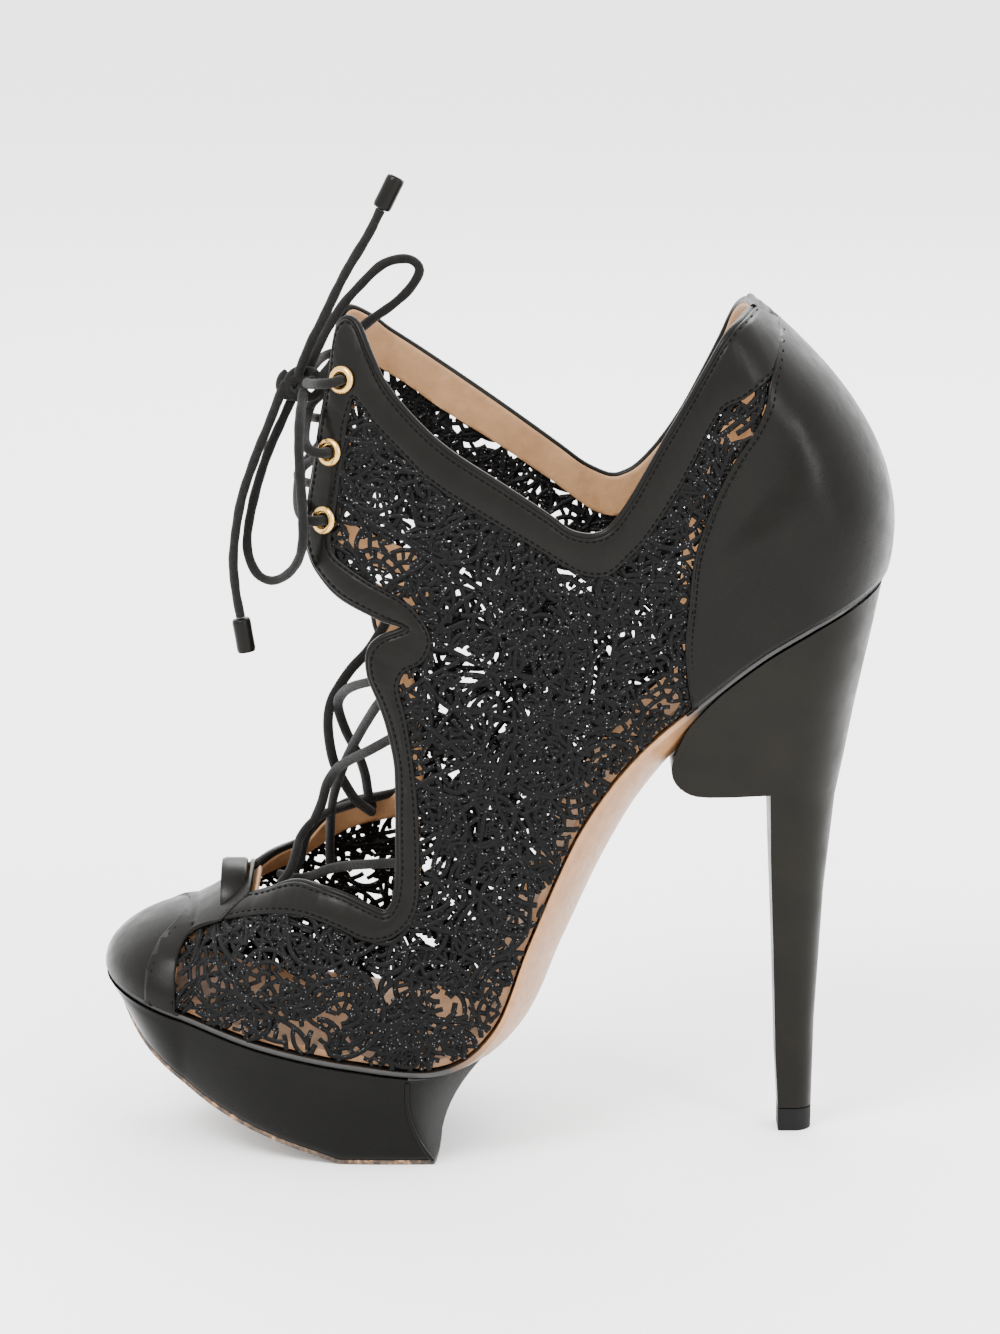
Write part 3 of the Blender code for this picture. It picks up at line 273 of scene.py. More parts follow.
# Profile of an aglet: share of its radius, height
AGLET_PROFILE = (
    (0.0, 0.0), (0.55, 0.0), (0.88, 0.0002), (0.97, 0.0006), (1.0, 0.0012), (0.985, 0.0044), (1.0, 0.0078),
    (0.97, 0.0084), (0.90, 0.0088), (0.72, 0.00872), (0.60, 0.0082), (0.0, 0.0081),
)

# Free laces: the routes of the solids
KNOT = (-0.0492, -0.0060, 0.1976)
LOOP_UPPER = (
    (-0.0475, -0.0036, 0.2006), (-0.0434, 0.0012, 0.2088), (-0.0393, 0.0040, 0.2153),
    (-0.0347, 0.0040, 0.2207), (-0.0284, 0.0040, 0.2266), (-0.0222, 0.0040, 0.2279),
    (-0.0192, 0.0040, 0.2253), (-0.0214, 0.0040, 0.2207), (-0.0258, 0.0040, 0.2164),
    (-0.0322, 0.0040, 0.2118), (-0.0375, 0.0032, 0.2070), (-0.0412, -0.0010, 0.2022),
    (-0.0443, -0.0050, 0.1987),
)
LOOP_LOWER = (
    (-0.0484, -0.0094, 0.1956), (-0.0489, -0.0190, 0.1915), (-0.0490, -0.0255, 0.1850),
    (-0.0486, -0.0282, 0.1775), (-0.0481, -0.0285, 0.1690), (-0.0482, -0.0265, 0.1610),
    (-0.0498, -0.0220, 0.1550), (-0.0530, -0.0170, 0.1505), (-0.0570, -0.0135, 0.1485),
    (-0.0608, -0.0115, 0.1505), (-0.0629, -0.0100, 0.1571), (-0.0613, -0.0090, 0.1679),
    (-0.0577, -0.0080, 0.1798), (-0.0534, -0.0075, 0.1895), (-0.0515, -0.0066, 0.1936),
)
END_UPPER = (
    (-0.0490, -0.0060, 0.2019), (-0.0464, -0.0060, 0.2084), (-0.0433, -0.0060, 0.2144),
    (-0.0402, -0.0060, 0.2209), (-0.0371, -0.0060, 0.2269), (-0.0318, -0.0060, 0.2357),
    (-0.0288, -0.0060, 0.2418),
)
END_LOWER = (
    (-0.0538, -0.0078, 0.1964), (-0.0572, -0.0122, 0.1880), (-0.0606, -0.0135, 0.1797),
    (-0.0642, -0.0135, 0.1688), (-0.0662, -0.0135, 0.1556), (-0.0658, -0.0130, 0.1462),
    (-0.0646, -0.0130, 0.1390),
)

# Knot. Wraps: half width, depth and height, start, lean and shift along x. Core: places from the middle
KNOT_WRAPS = (
    (0.0036, 0.0024, 0.0031, 0.0, 0.5, 0.0003),
    (0.0029, 0.0022, 0.0030, 0.9, -0.7, 0.0021),
    (0.0027, 0.0021, 0.0027, 2.0, 0.2, -0.0024),
)
KNOT_CORE = (
    (-0.0036, -0.0004, 0.0004), (-0.0012, 0.0, 0.0009), (0.0012, 0.0, 0.0003), (0.0038, -0.0008, 0.0008),
)

# Ankle lacing in front of the flaps: the two crossings, and the ties to the knot
CROSS_LOW = (
    (-0.0458, -0.0243, 0.1660), (-0.0484, -0.0222, 0.1668), (-0.0498, -0.0140, 0.1690),
    (-0.0495, 0.0, 0.1740), (-0.0458, 0.0075, 0.1785), (-0.0420, 0.0135, 0.1815),
)
CROSS_HIGH = (
    (-0.0440, -0.0236, 0.1832), (-0.0468, -0.0217, 0.1840), (-0.0480, -0.0130, 0.1858),
    (-0.0470, 0.0, 0.1905), (-0.0432, 0.0062, 0.1952), (-0.0392, 0.0115, 0.1992),
)
TIE_NEAR = (
    (-0.0408, -0.0228, 0.2008), (-0.0440, -0.0205, 0.2002), (-0.0464, -0.0140, 0.1990),
    (-0.0476, -0.0090, 0.1984),
)
TIE_FAR = (
    (-0.0408, 0.0228, 0.2008), (-0.0440, 0.0205, 0.2002), (-0.0464, 0.0120, 0.1990),
    (-0.0490, -0.0010, 0.1968),
)


# Form of the last, for arrays of places

def sections(u):
    """Section of the last at each u, with its width and height factors."""
    rows = np.array(LAST_ROWS)
    u = np.asarray(u, float)
    at = np.clip(u, 0, LAST_ROW)
    i = np.clip(np.floor(at).astype(int), 0, LAST_ROW - 1)
    t = (at - i)[..., None]
    p1 = rows[i]
    p2 = rows[i + 1]
    p0 = np.where(i[..., None] > 0, rows[np.maximum(i - 1, 0)], 2 * p1 - p2)
    p3 = np.where(i[..., None] + 2 <= LAST_ROW, rows[np.minimum(i + 2, LAST_ROW)], 2 * p2 - p1)
    found = 0.5 * (2 * p1 + (p2 - p0) * t + (2 * p0 - 5 * p1 + 4 * p2 - p3) * t * t
                   + (3 * p1 - p0 - 3 * p2 + p3) * t ** 3)
    past = np.where(u < 0, -u, np.maximum(u - LAST_ROW, 0))
    angle = np.clip(past, 0, 1) * math.pi / 2
    turn = np.sin(angle)[..., None]
    toe = rows[0] + turn * (np.array(TOE_TIP) - rows[0])
    heel = rows[-1] + turn * (np.array(HEEL_BACK) - rows[-1])
    found = np.where((u < 0)[..., None], toe, np.where((u > LAST_ROW)[..., None], heel, found))
    return found, np.cos(angle), np.where(u < 0, np.cos(angle), 1.0)


def last_points(u, v, side):
    """Outer face of the last: v is 0 at the sole, 1 at the top edge and 2 at the middle of the top."""
    u, v, side = np.broadcast_arrays(np.asarray(u, float), np.asarray(v, float), np.asarray(side, float))
    row, wide, tall = sections(u)
    foot_x, foot_z, top_x, top_z, bow, foot_w, belly_w, belly_at, top_w, centre = np.moveaxis(row, -1, 0)
    low = v < belly_at
    turn = (v - belly_at) / (1 - belly_at) * math.pi / 2
    height = np.where(low, v, belly_at + (1 - belly_at) * np.sin(turn))
    width = np.where(low, foot_w + (belly_w - foot_w) * np.sin(math.pi / 2 * v / belly_at),
                     top_w + (belly_w - top_w) * np.cos(turn))
    over = v > 1
    height = np.where(over, 1.0, height)
    width = np.where(over, top_w * (2 - v), width)
    foot = np.stack([foot_x * LENGTH, foot_z * COLLAR_HEIGHT], -1)
    top = np.stack([top_x * LENGTH, top_z * COLLAR_HEIGHT], -1)
    top = foot + (top - foot) * tall[..., None]
    middle = (foot + top) / 2
    middle[..., 0] += bow * LENGTH
    h = height[..., None]
    seen = (1 - h) ** 2 * foot + 2 * h * (1 - h) * middle + h ** 2 * top
    y = (side * width * wide + centre) * BALL_WIDTH
    return np.stack([seen[..., 0] - LENGTH / 2, y, seen[..., 1]], -1)


def last_normals(u, v, side):
    """Outward direction of the last's face."""
    step = 0.01
    along = last_points(u + step, v, side) - last_points(u - step, v, side)
    up = last_points(u, v + step, side) - last_points(u, v - step, side)
    out = np.cross(along, up) * -side
    return out / np.maximum(np.linalg.norm(out, axis=-1, keepdims=True), 1e-12)


LOOKUP_U = np.linspace(-0.98, LAST_ROW + 0.98, 480)
LOOKUP_V = np.linspace(0.0, 0.99, 150)


def lookup(side):
    """Tree of side-view places for finding u and v."""
    u, v = np.meshgrid(LOOKUP_U, LOOKUP_V, indexing="ij")
    places = last_points(u, v, side).reshape(-1, 3)
    tree = KDTree(len(places))
    for k, p in enumerate(places):
        tree.insert((p[0], 0.0, p[2]), k)
    tree.balance()
    return tree


TREES = {side: lookup(side) for side in (-1, 1)}


def find_uv(places, side):
    """u and v on one side for side-view places (x, z) in metres."""
    tree = TREES[side]
    hits = [tree.find((x, 0.0, z))[1] for x, z in places]
    u = LOOKUP_U[np.array(hits) // len(LOOKUP_V)].copy()
    v = LOOKUP_V[np.array(hits) % len(LOOKUP_V)].copy()
    goal = np.asarray(places, float)
    step = 1e-3
    for _ in range(3):
        here = last_points(u, v, side)[:, [0, 2]]
        du = (last_points(u + step, v, side)[:, [0, 2]] - here) / step
        dv = (last_points(u, v + step, side)[:, [0, 2]] - here) / step
        miss = goal - here
        size = du[:, 0] * dv[:, 1] - du[:, 1] * dv[:, 0]
        size = np.where(np.abs(size) < 1e-9, 1e-9, size)
        move_u = (miss[:, 0] * dv[:, 1] - miss[:, 1] * dv[:, 0]) / size
        move_v = (du[:, 0] * miss[:, 1] - du[:, 1] * miss[:, 0]) / size
        u += np.clip(move_u, -0.02, 0.02)
        v = np.clip(v + np.clip(move_v, -0.008, 0.008), 0.0, 0.992)
    return u, v


def on_last(places, side, out):
    """Side-view places on the last, moved outwards, and the directions out of it."""
    u, v = find_uv(places, side)
    normals = last_normals(u, v, side)
    return last_points(u, v, side) + normals * out, normals


def from_toe(share):
    """Place along x of a share of LENGTH, counted from the toe."""
    return share * LENGTH - LENGTH / 2


def side_places(table, side):
    """One side's places in metres, from a table of near and far places or of places for both sides."""
    rows = np.array(table)
    pair = rows[:, 2:4] if side > 0 and rows.shape[1] > 2 else rows[:, :2]
    return np.stack([from_toe(pair[:, 0]), pair[:, 1] * COLLAR_HEIGHT], -1)


def trim_lines(side):
    """One side's edge of the trims and seam of the net, in metres."""
    rows = np.array(TRIM_BAND)
    return side_places(rows[:, :4], side), side_places(rows[:, 4:], side)


def smooth_line(points, step):
    """Points a step apart on the smooth curve through the given ones."""
    points = np.asarray(points, float)
    ends = np.vstack([2 * points[0] - points[1], points, 2 * points[-1] - points[-2]])
    fine = []
    for k in range(len(points) - 1):
        p0, p1, p2, p3 = ends[k:k + 4]
        for t in np.linspace(0, 1, 12, endpoint=False):
            fine.append(0.5 * (2 * p1 + (p2 - p0) * t + (2 * p0 - 5 * p1 + 4 * p2 - p3) * t * t
                               + (3 * p1 - p0 - 3 * p2 + p3) * t ** 3))
    fine.append(points[-1])
    return even(np.array(fine), step)


def even(points, step):
    """The same line with points evenly spaced."""
    length = np.concatenate([[0], np.cumsum(np.linalg.norm(np.diff(points, axis=0), axis=1))])
    count = max(2, int(round(length[-1] / step)) + 1)
    at = np.linspace(0, length[-1], count)
    return np.stack([np.interp(at, length, points[:, k]) for k in range(points.shape[1])], -1)


# Meshes

def mesh_object(name, vertices, faces, look, sharp=45):
    """Smooth object, with its edges sharp above an angle in degrees."""
    mesh = bpy.data.meshes.new(name)
    mesh.from_pydata([tuple(p) for p in vertices], [], faces)
    mesh.validate()
    mesh.shade_smooth()
    mesh.set_sharp_from_angle(angle=math.radians(sharp))
    mesh.materials.append(look)
    obj = bpy.data.objects.new(name, mesh)
    bpy.context.scene.collection.objects.link(obj)
    return obj


def fix_normals(obj, weld=False):
    """Faces turned outwards, where asked after vertices in one place are joined."""
    bm = bmesh.new()
    bm.from_mesh(obj.data)
    if weld:
        bmesh.ops.remove_doubles(bm, verts=bm.verts, dist=1e-6)
    bmesh.ops.recalc_face_normals(bm, faces=bm.faces)
    bm.to_mesh(obj.data)
    bm.free()
    return obj


def ring_faces(rings, sides, ends=True):
    """Quads between neighbouring rings of vertices, and a face over each end."""
    faces = []
    for a in range(0, (rings - 1) * sides, sides):
        for k in range(sides):
            n = (k + 1) % sides
            faces.append((a + k, a + n, a + sides + n, a + sides + k))
    if ends:
        last = (rings - 1) * sides
        faces += [tuple(reversed(range(sides))), tuple(range(last, last + sides))]
    return faces


def directions(points):
    ahead = np.vstack([points[1:], points[-1:]])
    behind = np.vstack([points[:1], points[:-1]])
    along = ahead - behind
    return along / np.maximum(np.linalg.norm(along, axis=1, keepdims=True), 1e-12)


def carried_frames(points):
    """Two directions across a line at each point, carried along it without twist."""
    along = directions(points)
    first = Vector(along[0])
    across = first.orthogonal().normalized()
    ups = [np.array(across)]
    for k in range(1, len(points)):
        turn = Vector(along[k - 1]).rotation_difference(Vector(along[k]))
        across = turn @ across
        ups.append(np.array(across))
    ups = np.array(ups)
    return ups, np.cross(along, ups)


def tube_parts(points, radius, sides, ups=None, flat=1.0):
    """Vertices and faces of a tube with closed ends. flat is its height over its width."""
    points = np.asarray(points, float)
    if ups is None:
        ups, wides = carried_frames(points)
    else:
        wides = np.cross(directions(points), ups)
        wides /= np.maximum(np.linalg.norm(wides, axis=1, keepdims=True), 1e-12)
    radius = np.broadcast_to(np.asarray(radius, float), (len(points),))[:, None]
    rings = []
    for k in range(sides):
        a = 2 * math.pi * k / sides
        rings.append(points + ups * radius * flat * math.sin(a) + wides * radius * math.cos(a))
    return np.stack(rings, 1).reshape(-1, 3), ring_faces(len(points), sides)


def joined(name, parts, look):
    """One mesh from many vertex and face lists, each with faces counted from its own start."""
    vertices = []
    faces = []
    count = 0
    for part_vertices, part_faces in parts:
        faces += [tuple(i + count for i in face) for face in part_faces]
        vertices.append(part_vertices)
        count += len(part_vertices)
    return mesh_object(name, np.vstack(vertices), faces, look, sharp=60)


def turned(name, profile, sides, centre, direction, look, sharp=45):
    """Round piece from a profile of (radius, height) about a direction."""
    turn = direction.to_track_quat("Z", "Y").to_matrix()
    vertices = []
    for radius, height in profile:
        for k in range(sides):
            a = 2 * math.pi * k / sides
            vertices.append(centre + turn @ Vector((math.cos(a) * radius, math.sin(a) * radius, height)))
    made = mesh_object(name, vertices, ring_faces(len(profile), sides, False), look, sharp)
    return fix_normals(made, True)


def rolled_edge(line, side, out, radius=EDGE_ROLL, sides=8, flat=1.0):
    """Rolled edge along side-view places."""
    points, normals = on_last(line, side, out)
    return tube_parts(points, radius, sides, normals, flat)


def keep(obj, slot, *nodes):
    """The piece rides on the shoe, and stands for the nodes named."""
    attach(obj, "root")
    if nodes:
        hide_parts(*nodes)
    return obj


# Materials

def new_look(name, colour, roughness, metallic=0.0, coat=0.0, coat_roughness=0.1, sheen=0.0, specular=0.5):
    look = bpy.data.materials.new(name)
    look.use_nodes = True
    shader = look.node_tree.nodes["Principled BSDF"]
    shader.inputs["Base Color"].default_value = (*colour, 1.0)
    shader.inputs["Roughness"].default_value = roughness
    shader.inputs["Metallic"].default_value = metallic
    shader.inputs["Coat Weight"].default_value = coat
    shader.inputs["Coat Roughness"].default_value = coat_roughness
    shader.inputs["Sheen Weight"].default_value = sheen
    shader.inputs["Specular IOR Level"].default_value = specular
    return look


def node(look, kind, **inputs):
    made = look.node_tree.nodes.new(kind)
    for name, value in inputs.items():
        made.inputs[name.replace("_", " ")].default_value = value
    return made


def link(look, out_socket, in_socket):
    look.node_tree.links.new(out_socket, in_socket)


def place_of(look):
    """Texture coordinates in metres."""
    found = look.node_tree.nodes.get("Place")
    if not found:
        found = look.node_tree.nodes.new("ShaderNodeTexCoord")
        found.name = "Place"
    return found.outputs["Object"]


def noise(look, scale, detail, roughness=0.55, distortion=0.0):
    made = node(look, "ShaderNodeTexNoise", Scale=scale, Detail=detail, Roughness=roughness,
                Distortion=distortion)
    link(look, place_of(look), made.inputs["Vector"])
    return made.outputs["Fac"]


def voronoi(look, scale, feature="DISTANCE_TO_EDGE", output="Distance"):
    made = node(look, "ShaderNodeTexVoronoi", Scale=scale)
    made.feature = feature
    link(look, place_of(look), made.inputs["Vector"])
    return made.outputs[output]


def ramp(look, value, stops):
    """Colour ramp with (position, colour) stops."""
    made = look.node_tree.nodes.new("ShaderNodeValToRGB")
    ends = made.color_ramp.elements
    ends[0].position, ends[0].color = stops[0][0], (*stops[0][1], 1.0)
    ends[1].position, ends[1].color = stops[-1][0], (*stops[-1][1], 1.0)
    for position, colour in stops[1:-1]:
        middle = ends.new(position)
        middle.color = (*colour, 1.0)
    link(look, value, made.inputs["Fac"])
    return made.outputs["Color"]


def spread(look, value, low, high, start=0.3, end=0.7):
    """The value mapped from start..end to low..high."""
    made = node(look, "ShaderNodeMapRange")
    made.inputs["From Min"].default_value = start
    made.inputs["From Max"].default_value = end
    made.inputs["To Min"].default_value = low
    made.inputs["To Max"].default_value = high
    link(look, value, made.inputs["Value"])
    return made.outputs["Result"]


def maths(look, operation, a, b):
    made = look.node_tree.nodes.new("ShaderNodeMath")
    made.operation = operation
    for socket, value in zip(made.inputs, (a, b)):
        if isinstance(value, (int, float)):
            socket.default_value = value
        else:
            link(look, value, socket)
    return made.outputs[0]


def bump(look, heights):
    """Bumps in a chain: (height output, strength, distance in metres) each."""
    shader = look.node_tree.nodes["Principled BSDF"]
    last = None
    for height, strength, distance in heights:
        made = node(look, "ShaderNodeBump", Strength=strength, Distance=distance)
        link(look, height, made.inputs["Height"])
        if last:
            link(look, last, made.inputs["Normal"])
        last = made.outputs["Normal"]
    link(look, last, shader.inputs["Normal"])


def into(look, value, socket):
    link(look, value, look.node_tree.nodes["Principled BSDF"].inputs[socket])


def smooth_leather(name, colour, roughness, grain=1.0, coat=0.0, specular=0.10):
    """Dressed calf: fine pores, soft wrinkles, uneven gloss."""
    look = new_look(name, colour, roughness, coat=coat, coat_roughness=0.18, specular=specular)
    bright = tuple(c * 1.6 for c in colour)
    into(look, ramp(look, noise(look, 70, 5), ((0.3, colour), (0.75, bright))), "Base Color")
    into(look, spread(look, noise(look, 160, 5), roughness - 0.07, roughness + 0.10), "Roughness")
    bump(look, ((voronoi(look, 1500), 0.16 * grain, 0.00012), (noise(look, 2600, 4), 0.22 * grain, 0.0001),
                (noise(look, 90, 3), 0.35 * grain, 0.0005)))
    return look


def tan_leather(name, colour, dark, roughness, wrinkles):
    look = new_look(name, colour, roughness, specular=0.35)
    into(look, ramp(look, noise(look, 120, 6, 0.6), ((0.28, dark), (0.72, colour))), "Base Color")
    into(look, spread(look, noise(look, 300, 4), roughness - 0.06, roughness + 0.12), "Roughness")
    bump(look, ((voronoi(look, 1800), 0.14, 0.0001), (noise(look, 420, 5, 0.6, 0.4), wrinkles, 0.0003)))
    return look


def thread_net():
    """Corded black thread with fine glints: sparse specks painted light grey in the base colour stand in for
    glints, and lower roughness there adds real shine.
    """
    look = new_look("net_thread", (0.0012, 0.0012, 0.0012), 0.45, specular=0.09)
    painted_glint_cells = voronoi(look, 4600, "F1", "Color")
    parts = look.node_tree.nodes.new("ShaderNodeSeparateColor")
    link(look, painted_glint_cells, parts.inputs["Color"])
    # Painted glints: sparse specks painted light grey in the base colour; their lower roughness below adds
    # real shine too
    tones = ((0.985, (0.0012, 0.0012, 0.0012)), (0.995, (0.16, 0.16, 0.17)))
    into(look, ramp(look, parts.outputs["Red"], tones), "Base Color")
    into(look, spread(look, parts.outputs["Red"], 0.45, 0.25, 0.985, 0.995), "Roughness")
    bump(look, ((noise(look, 1500, 4, 0.7), 0.25, 0.0004), (voronoi(look, 1700), 0.25, 0.0003)))
    return look


def lace_look():
    """Soft matte cord with a short nap."""
    look = new_look("lace_nap", (0.0050, 0.0047, 0.0044), 0.92, sheen=0.10, specular=0.10)
    shader = look.node_tree.nodes["Principled BSDF"]
    shader.inputs["Sheen Roughness"].default_value = 0.45
    tones = ((0.3, (0.003, 0.003, 0.0027)), (0.75, (0.009, 0.0085, 0.008)))
    into(look, ramp(look, noise(look, 900, 5, 0.7), tones), "Base Color")
    bump(look, ((noise(look, 2400, 5, 0.75), 0.8, 0.00022), (noise(look, 500, 3), 0.4, 0.0004)))
    return look


def suede_look():
    look = new_look("suede_black", (0.0040, 0.0039, 0.0036), 0.95, sheen=0.08, specular=0.08)
    tones = ((0.3, (0.0025, 0.0025, 0.0023)), (0.75, (0.007, 0.0068, 0.0064)))
    into(look, ramp(look, noise(look, 700, 6, 0.75), tones), "Base Color")
    bump(look, ((noise(look, 3000, 5, 0.8), 0.9, 0.0002),))
    return look


def gold_look():
    look = new_look("gold_metal", (0.62, 0.38, 0.12), 0.22, metallic=1.0)
    into(look, spread(look, noise(look, 900, 4), 0.15, 0.34), "Roughness")
    bump(look, ((noise(look, 1800, 3), 0.12, 0.0001),))
    return look


def sole_look():
    """Tan sole leather at the waist, black under the forefoot and along the counter."""
    look = new_look("sole_tan", (0.40, 0.20, 0.08), 0.42, coat=0.15, coat_roughness=0.25)
    tones = ((0.25, (0.21, 0.095, 0.035)), (0.75, (0.34, 0.170, 0.068)))
    grain = ramp(look, noise(look, 260, 6, 0.65), tones)
    parts = look.node_tree.nodes.new("ShaderNodeSeparateXYZ")
    link(look, place_of(look), parts.inputs["Vector"])
    front = spread(look, parts.outputs["X"], 0.0, 1.0, -0.012, 0.002)
    rear = spread(look, parts.outputs["X"], 1.0, 0.0, 0.044, 0.052)
    mix = look.node_tree.nodes.new("ShaderNodeMix")
    mix.data_type = "RGBA"
    link(look, maths(look, "MULTIPLY", front, rear), mix.inputs["Factor"])
    dark, light = (s for s in mix.inputs if s.type == "RGBA")
    dark.default_value = (0.004, 0.0035, 0.003, 1.0)
    link(look, grain, light)
    shown = next(s for s in mix.outputs if s.type == "RGBA")
    into(look, shown, "Base Color")
    into(look, spread(look, noise(look, 400, 4), 0.34, 0.52), "Roughness")
    bump(look, ((noise(look, 900, 5), 0.25, 0.0002),))
    return look


def tread_look():
    """Thin sole leather, black on its face and worn to tan along its rim."""
    look = new_look("tread_worn", (0.05, 0.03, 0.02), 0.7)
    tones = ((0.42, (0.014, 0.011, 0.009)), (0.56, (0.10, 0.055, 0.028)), (0.66, (0.34, 0.19, 0.10)))
    into(look, ramp(look, noise(look, 420, 6, 0.7), tones), "Base Color")
    bump(look, ((noise(look, 1500, 5, 0.7), 0.6, 0.0003),))
    return look


LEATHER = smooth_leather("leather_black", (0.0022, 0.0020, 0.0015), 0.30)
COUNTER_LEATHER = smooth_leather("leather_counter", (0.0020, 0.0018, 0.0013), 0.27, 1.2)
PATENT = smooth_leather("leather_gloss", (0.0016, 0.0015, 0.0012), 0.20, 0.5, coat=0.06, specular=0.06)
HEEL_LOOK = smooth_leather("leather_heel", (0.0040, 0.0035, 0.0024), 0.36, 0.35)
TAN_LINING = tan_leather("lining_tan", (0.34, 0.190, 0.088), (0.23, 0.118, 0.050), 0.55, 0.9)
INSOLE_LOOK = tan_leather("insole_tan", (0.31, 0.170, 0.080), (0.22, 0.110, 0.048), 0.5, 0.25)
NET = thread_net()
LACE = lace_look()
SUEDE = suede_look()
GOLD = gold_look()
SOLE = sole_look()
TREAD_WORN = tread_look()
RUBBER = smooth_leather("rubber_black", (0.004, 0.004, 0.004), 0.6, 0.6)
THREAD = new_look("thread_black", (0.002, 0.002, 0.002), 0.8, specular=0.05)


# Camera, light and floor

def make_camera():
    data = bpy.data.cameras.new("camera")
    data.sensor_fit = "HORIZONTAL"
    data.sensor_width = SENSOR
    data.lens = FOCAL_PIXELS / PHOTO_SIZE[0] * SENSOR
    camera = bpy.data.objects.new("camera", data)
    back = Vector((0.0, -math.cos(CAMERA_RISE), math.sin(CAMERA_RISE)))
    camera.location = CAMERA_TARGET + back * CAMERA_DISTANCE
    camera.rotation_euler = (math.pi / 2 - CAMERA_RISE, 0.0, 0.0)
    bpy.context.scene.collection.objects.link(camera)
    bpy.context.scene.camera = camera


def seen_at(px, py, y):
    """Place at a depth y that the photo shows at a pixel."""
    a = (px - PHOTO_SIZE[0] / 2) / FOCAL_PIXELS
    b = (PHOTO_SIZE[1] / 2 - py) / FOCAL_PIXELS
    rise = math.sin(CAMERA_RISE)
    level = math.cos(CAMERA_RISE)
    up = (b * (CAMERA_DISTANCE + y * level) - y * rise) / (level + b * rise)
    depth = CAMERA_DISTANCE + y * level - up * rise
    return CAMERA_TARGET.x + a * depth, y, CAMERA_TARGET.z + up


def area_light(name, place, aim, size, watts):
    data = bpy.data.lights.new(name, "AREA")
    data.shape = "RECTANGLE"
    data.size, data.size_y = size
    data.energy = watts
    light = bpy.data.objects.new(name, data)
    light.location = place
    light.rotation_euler = (Vector(aim) - Vector(place)).to_track_quat("-Z", "Y").to_euler()
    bpy.context.scene.collection.objects.link(light)


def make_studio():
    world = bpy.data.worlds.new("world")
    bpy.context.scene.world = world
    world.use_nodes = True
    background = world.node_tree.nodes["Background"]
    background.inputs["Color"].default_value = (1.0, 1.0, 1.0, 1.0)
    background.inputs["Strength"].default_value = SURROUND
    for light in LIGHTS:
        area_light(*light)
    bpy.ops.mesh.primitive_plane_add(size=14.0, location=(0, 3.0, 0))
    floor = bpy.context.active_object
    floor.name = "floor"
    look = new_look("floor_white", (0.96, 0.96, 0.96), 0.8, specular=0.1)
    floor.data.materials.append(look)


# Laces

def lace_mesh(name, route):
    """Soft cord along a route, its section a little flat and uneven."""
    points = smooth_line(route, 0.0009)
    along = np.arange(len(points))
    swell = 1 + 0.035 * np.sin(along * 0.9) + 0.03 * np.sin(along * 0.37 + len(route))
    vertices, faces = tube_parts(points, LACE_RADIUS * swell, LACE_SIDES, flat=0.86)
    return mesh_object(name, vertices, faces, LACE), points


def tight_lace(route):
    """Lace drawn tight along a route."""
    return tube_parts(smooth_line(route, 0.0010), LACE_RADIUS, LACE_SIDES, flat=0.85)


def make_aglet(word, route):
    """Round leather-covered end with a dished face and a rolled rim."""
    last = Vector(route[-1])
    direction = (last - Vector(route[-2])).normalized()
    profile = [(share * AGLET_RADIUS, height) for share, height in AGLET_PROFILE]
    aglet = turned(f"aglet_{word}_cap", profile, 28, last + direction * GAP, direction, LEATHER, 50)
    return keep(aglet, "leather", f"aglet_{word}")


def make_knot():
    """Overhand knot: two wraps round a core, drawn tight."""
    centre = np.array(KNOT)
    parts = []
    for wide, deep, tall, phase, lean, shift in KNOT_WRAPS:
        a = np.linspace(0, 1.7 * math.pi, 40) + phase
        line = np.stack([wide * np.cos(a) + shift, deep * np.sin(a + lean), tall * np.sin(a)], -1) + centre
        parts.append(tube_parts(line, LACE_RADIUS * 0.98, LACE_SIDES, flat=0.9))
    core = smooth_line(np.array(KNOT_CORE) + centre, 0.0006)
    parts.append(tube_parts(core, LACE_RADIUS * 1.2, LACE_SIDES, flat=0.95))
    for route in (LOOP_UPPER, LOOP_UPPER[::-1], LOOP_LOWER, LOOP_LOWER[::-1], END_UPPER, END_LOWER):
        start = np.array(route[0])
        toward = start - np.array(route[1])
        toward /= np.linalg.norm(toward)
        inner = start + toward * 0.0016
        stub = np.array([start - toward * 0.0004, inner, (inner + 2 * centre) / 3])
        parts.append(tube_parts(smooth_line(stub, 0.0006), LACE_RADIUS * 0.985, LACE_SIDES, flat=0.86))
    return keep(joined("lace_knot_wraps", parts, LACE), "lace", "lace_knot")


def make_free_laces():
    knot = make_knot()
    for word, route in (("upper", END_UPPER), ("lower", END_LOWER)):
        aglet = make_aglet(word, route)
        lace, points = lace_mesh(f"end_{word}_lace", route)
        keep(lace, "lace", f"end_{word}")
    for word, route in (("upper", LOOP_UPPER), ("lower", LOOP_LOWER)):
        lace, points = lace_mesh(f"loop_{word}_lace", route)
        keep(lace, "lace", f"loop_{word}")


def eyelet_place(k, side, out):
    u, v = EYELETS[k]
    normal = last_normals(np.array(u), np.array(v), side)
    return last_points(u, v, side) + normal * out, normal


def make_eyelets():
    """Turned rings with a rolled flange and a short barrel."""
    profile = [(EYELET_RADIUS + out, height) for out, height in EYELET_PROFILE]
    for side, word in SIDES:
        for k in range(len(EYELETS)):
            centre, normal = eyelet_place(k, side, TRIM_HEIGHT + GAP)
            ring = turned(f"eyelet_{word}_{k + 1}_ring", profile, 36, Vector(centre), Vector(normal), GOLD)
            keep(ring, "gold", f"eyelet_{word}_{k + 1}")


def out_of(k, side):
    """A lace's way out of an eyelet."""
    return [tuple(eyelet_place(k, side, out)[0]) for out in (-0.0030, 0.0016)]


def behind_flap(k, side):
    """Where a lace ends behind an eyelet."""
    return [tuple(eyelet_place(k, side, -0.0036)[0])]


def hidden_side(route):
    """The lace that crosses the other way, a little in front."""
    return [(x - LACE_SHIFT, -y, z) for x, y, z in route]


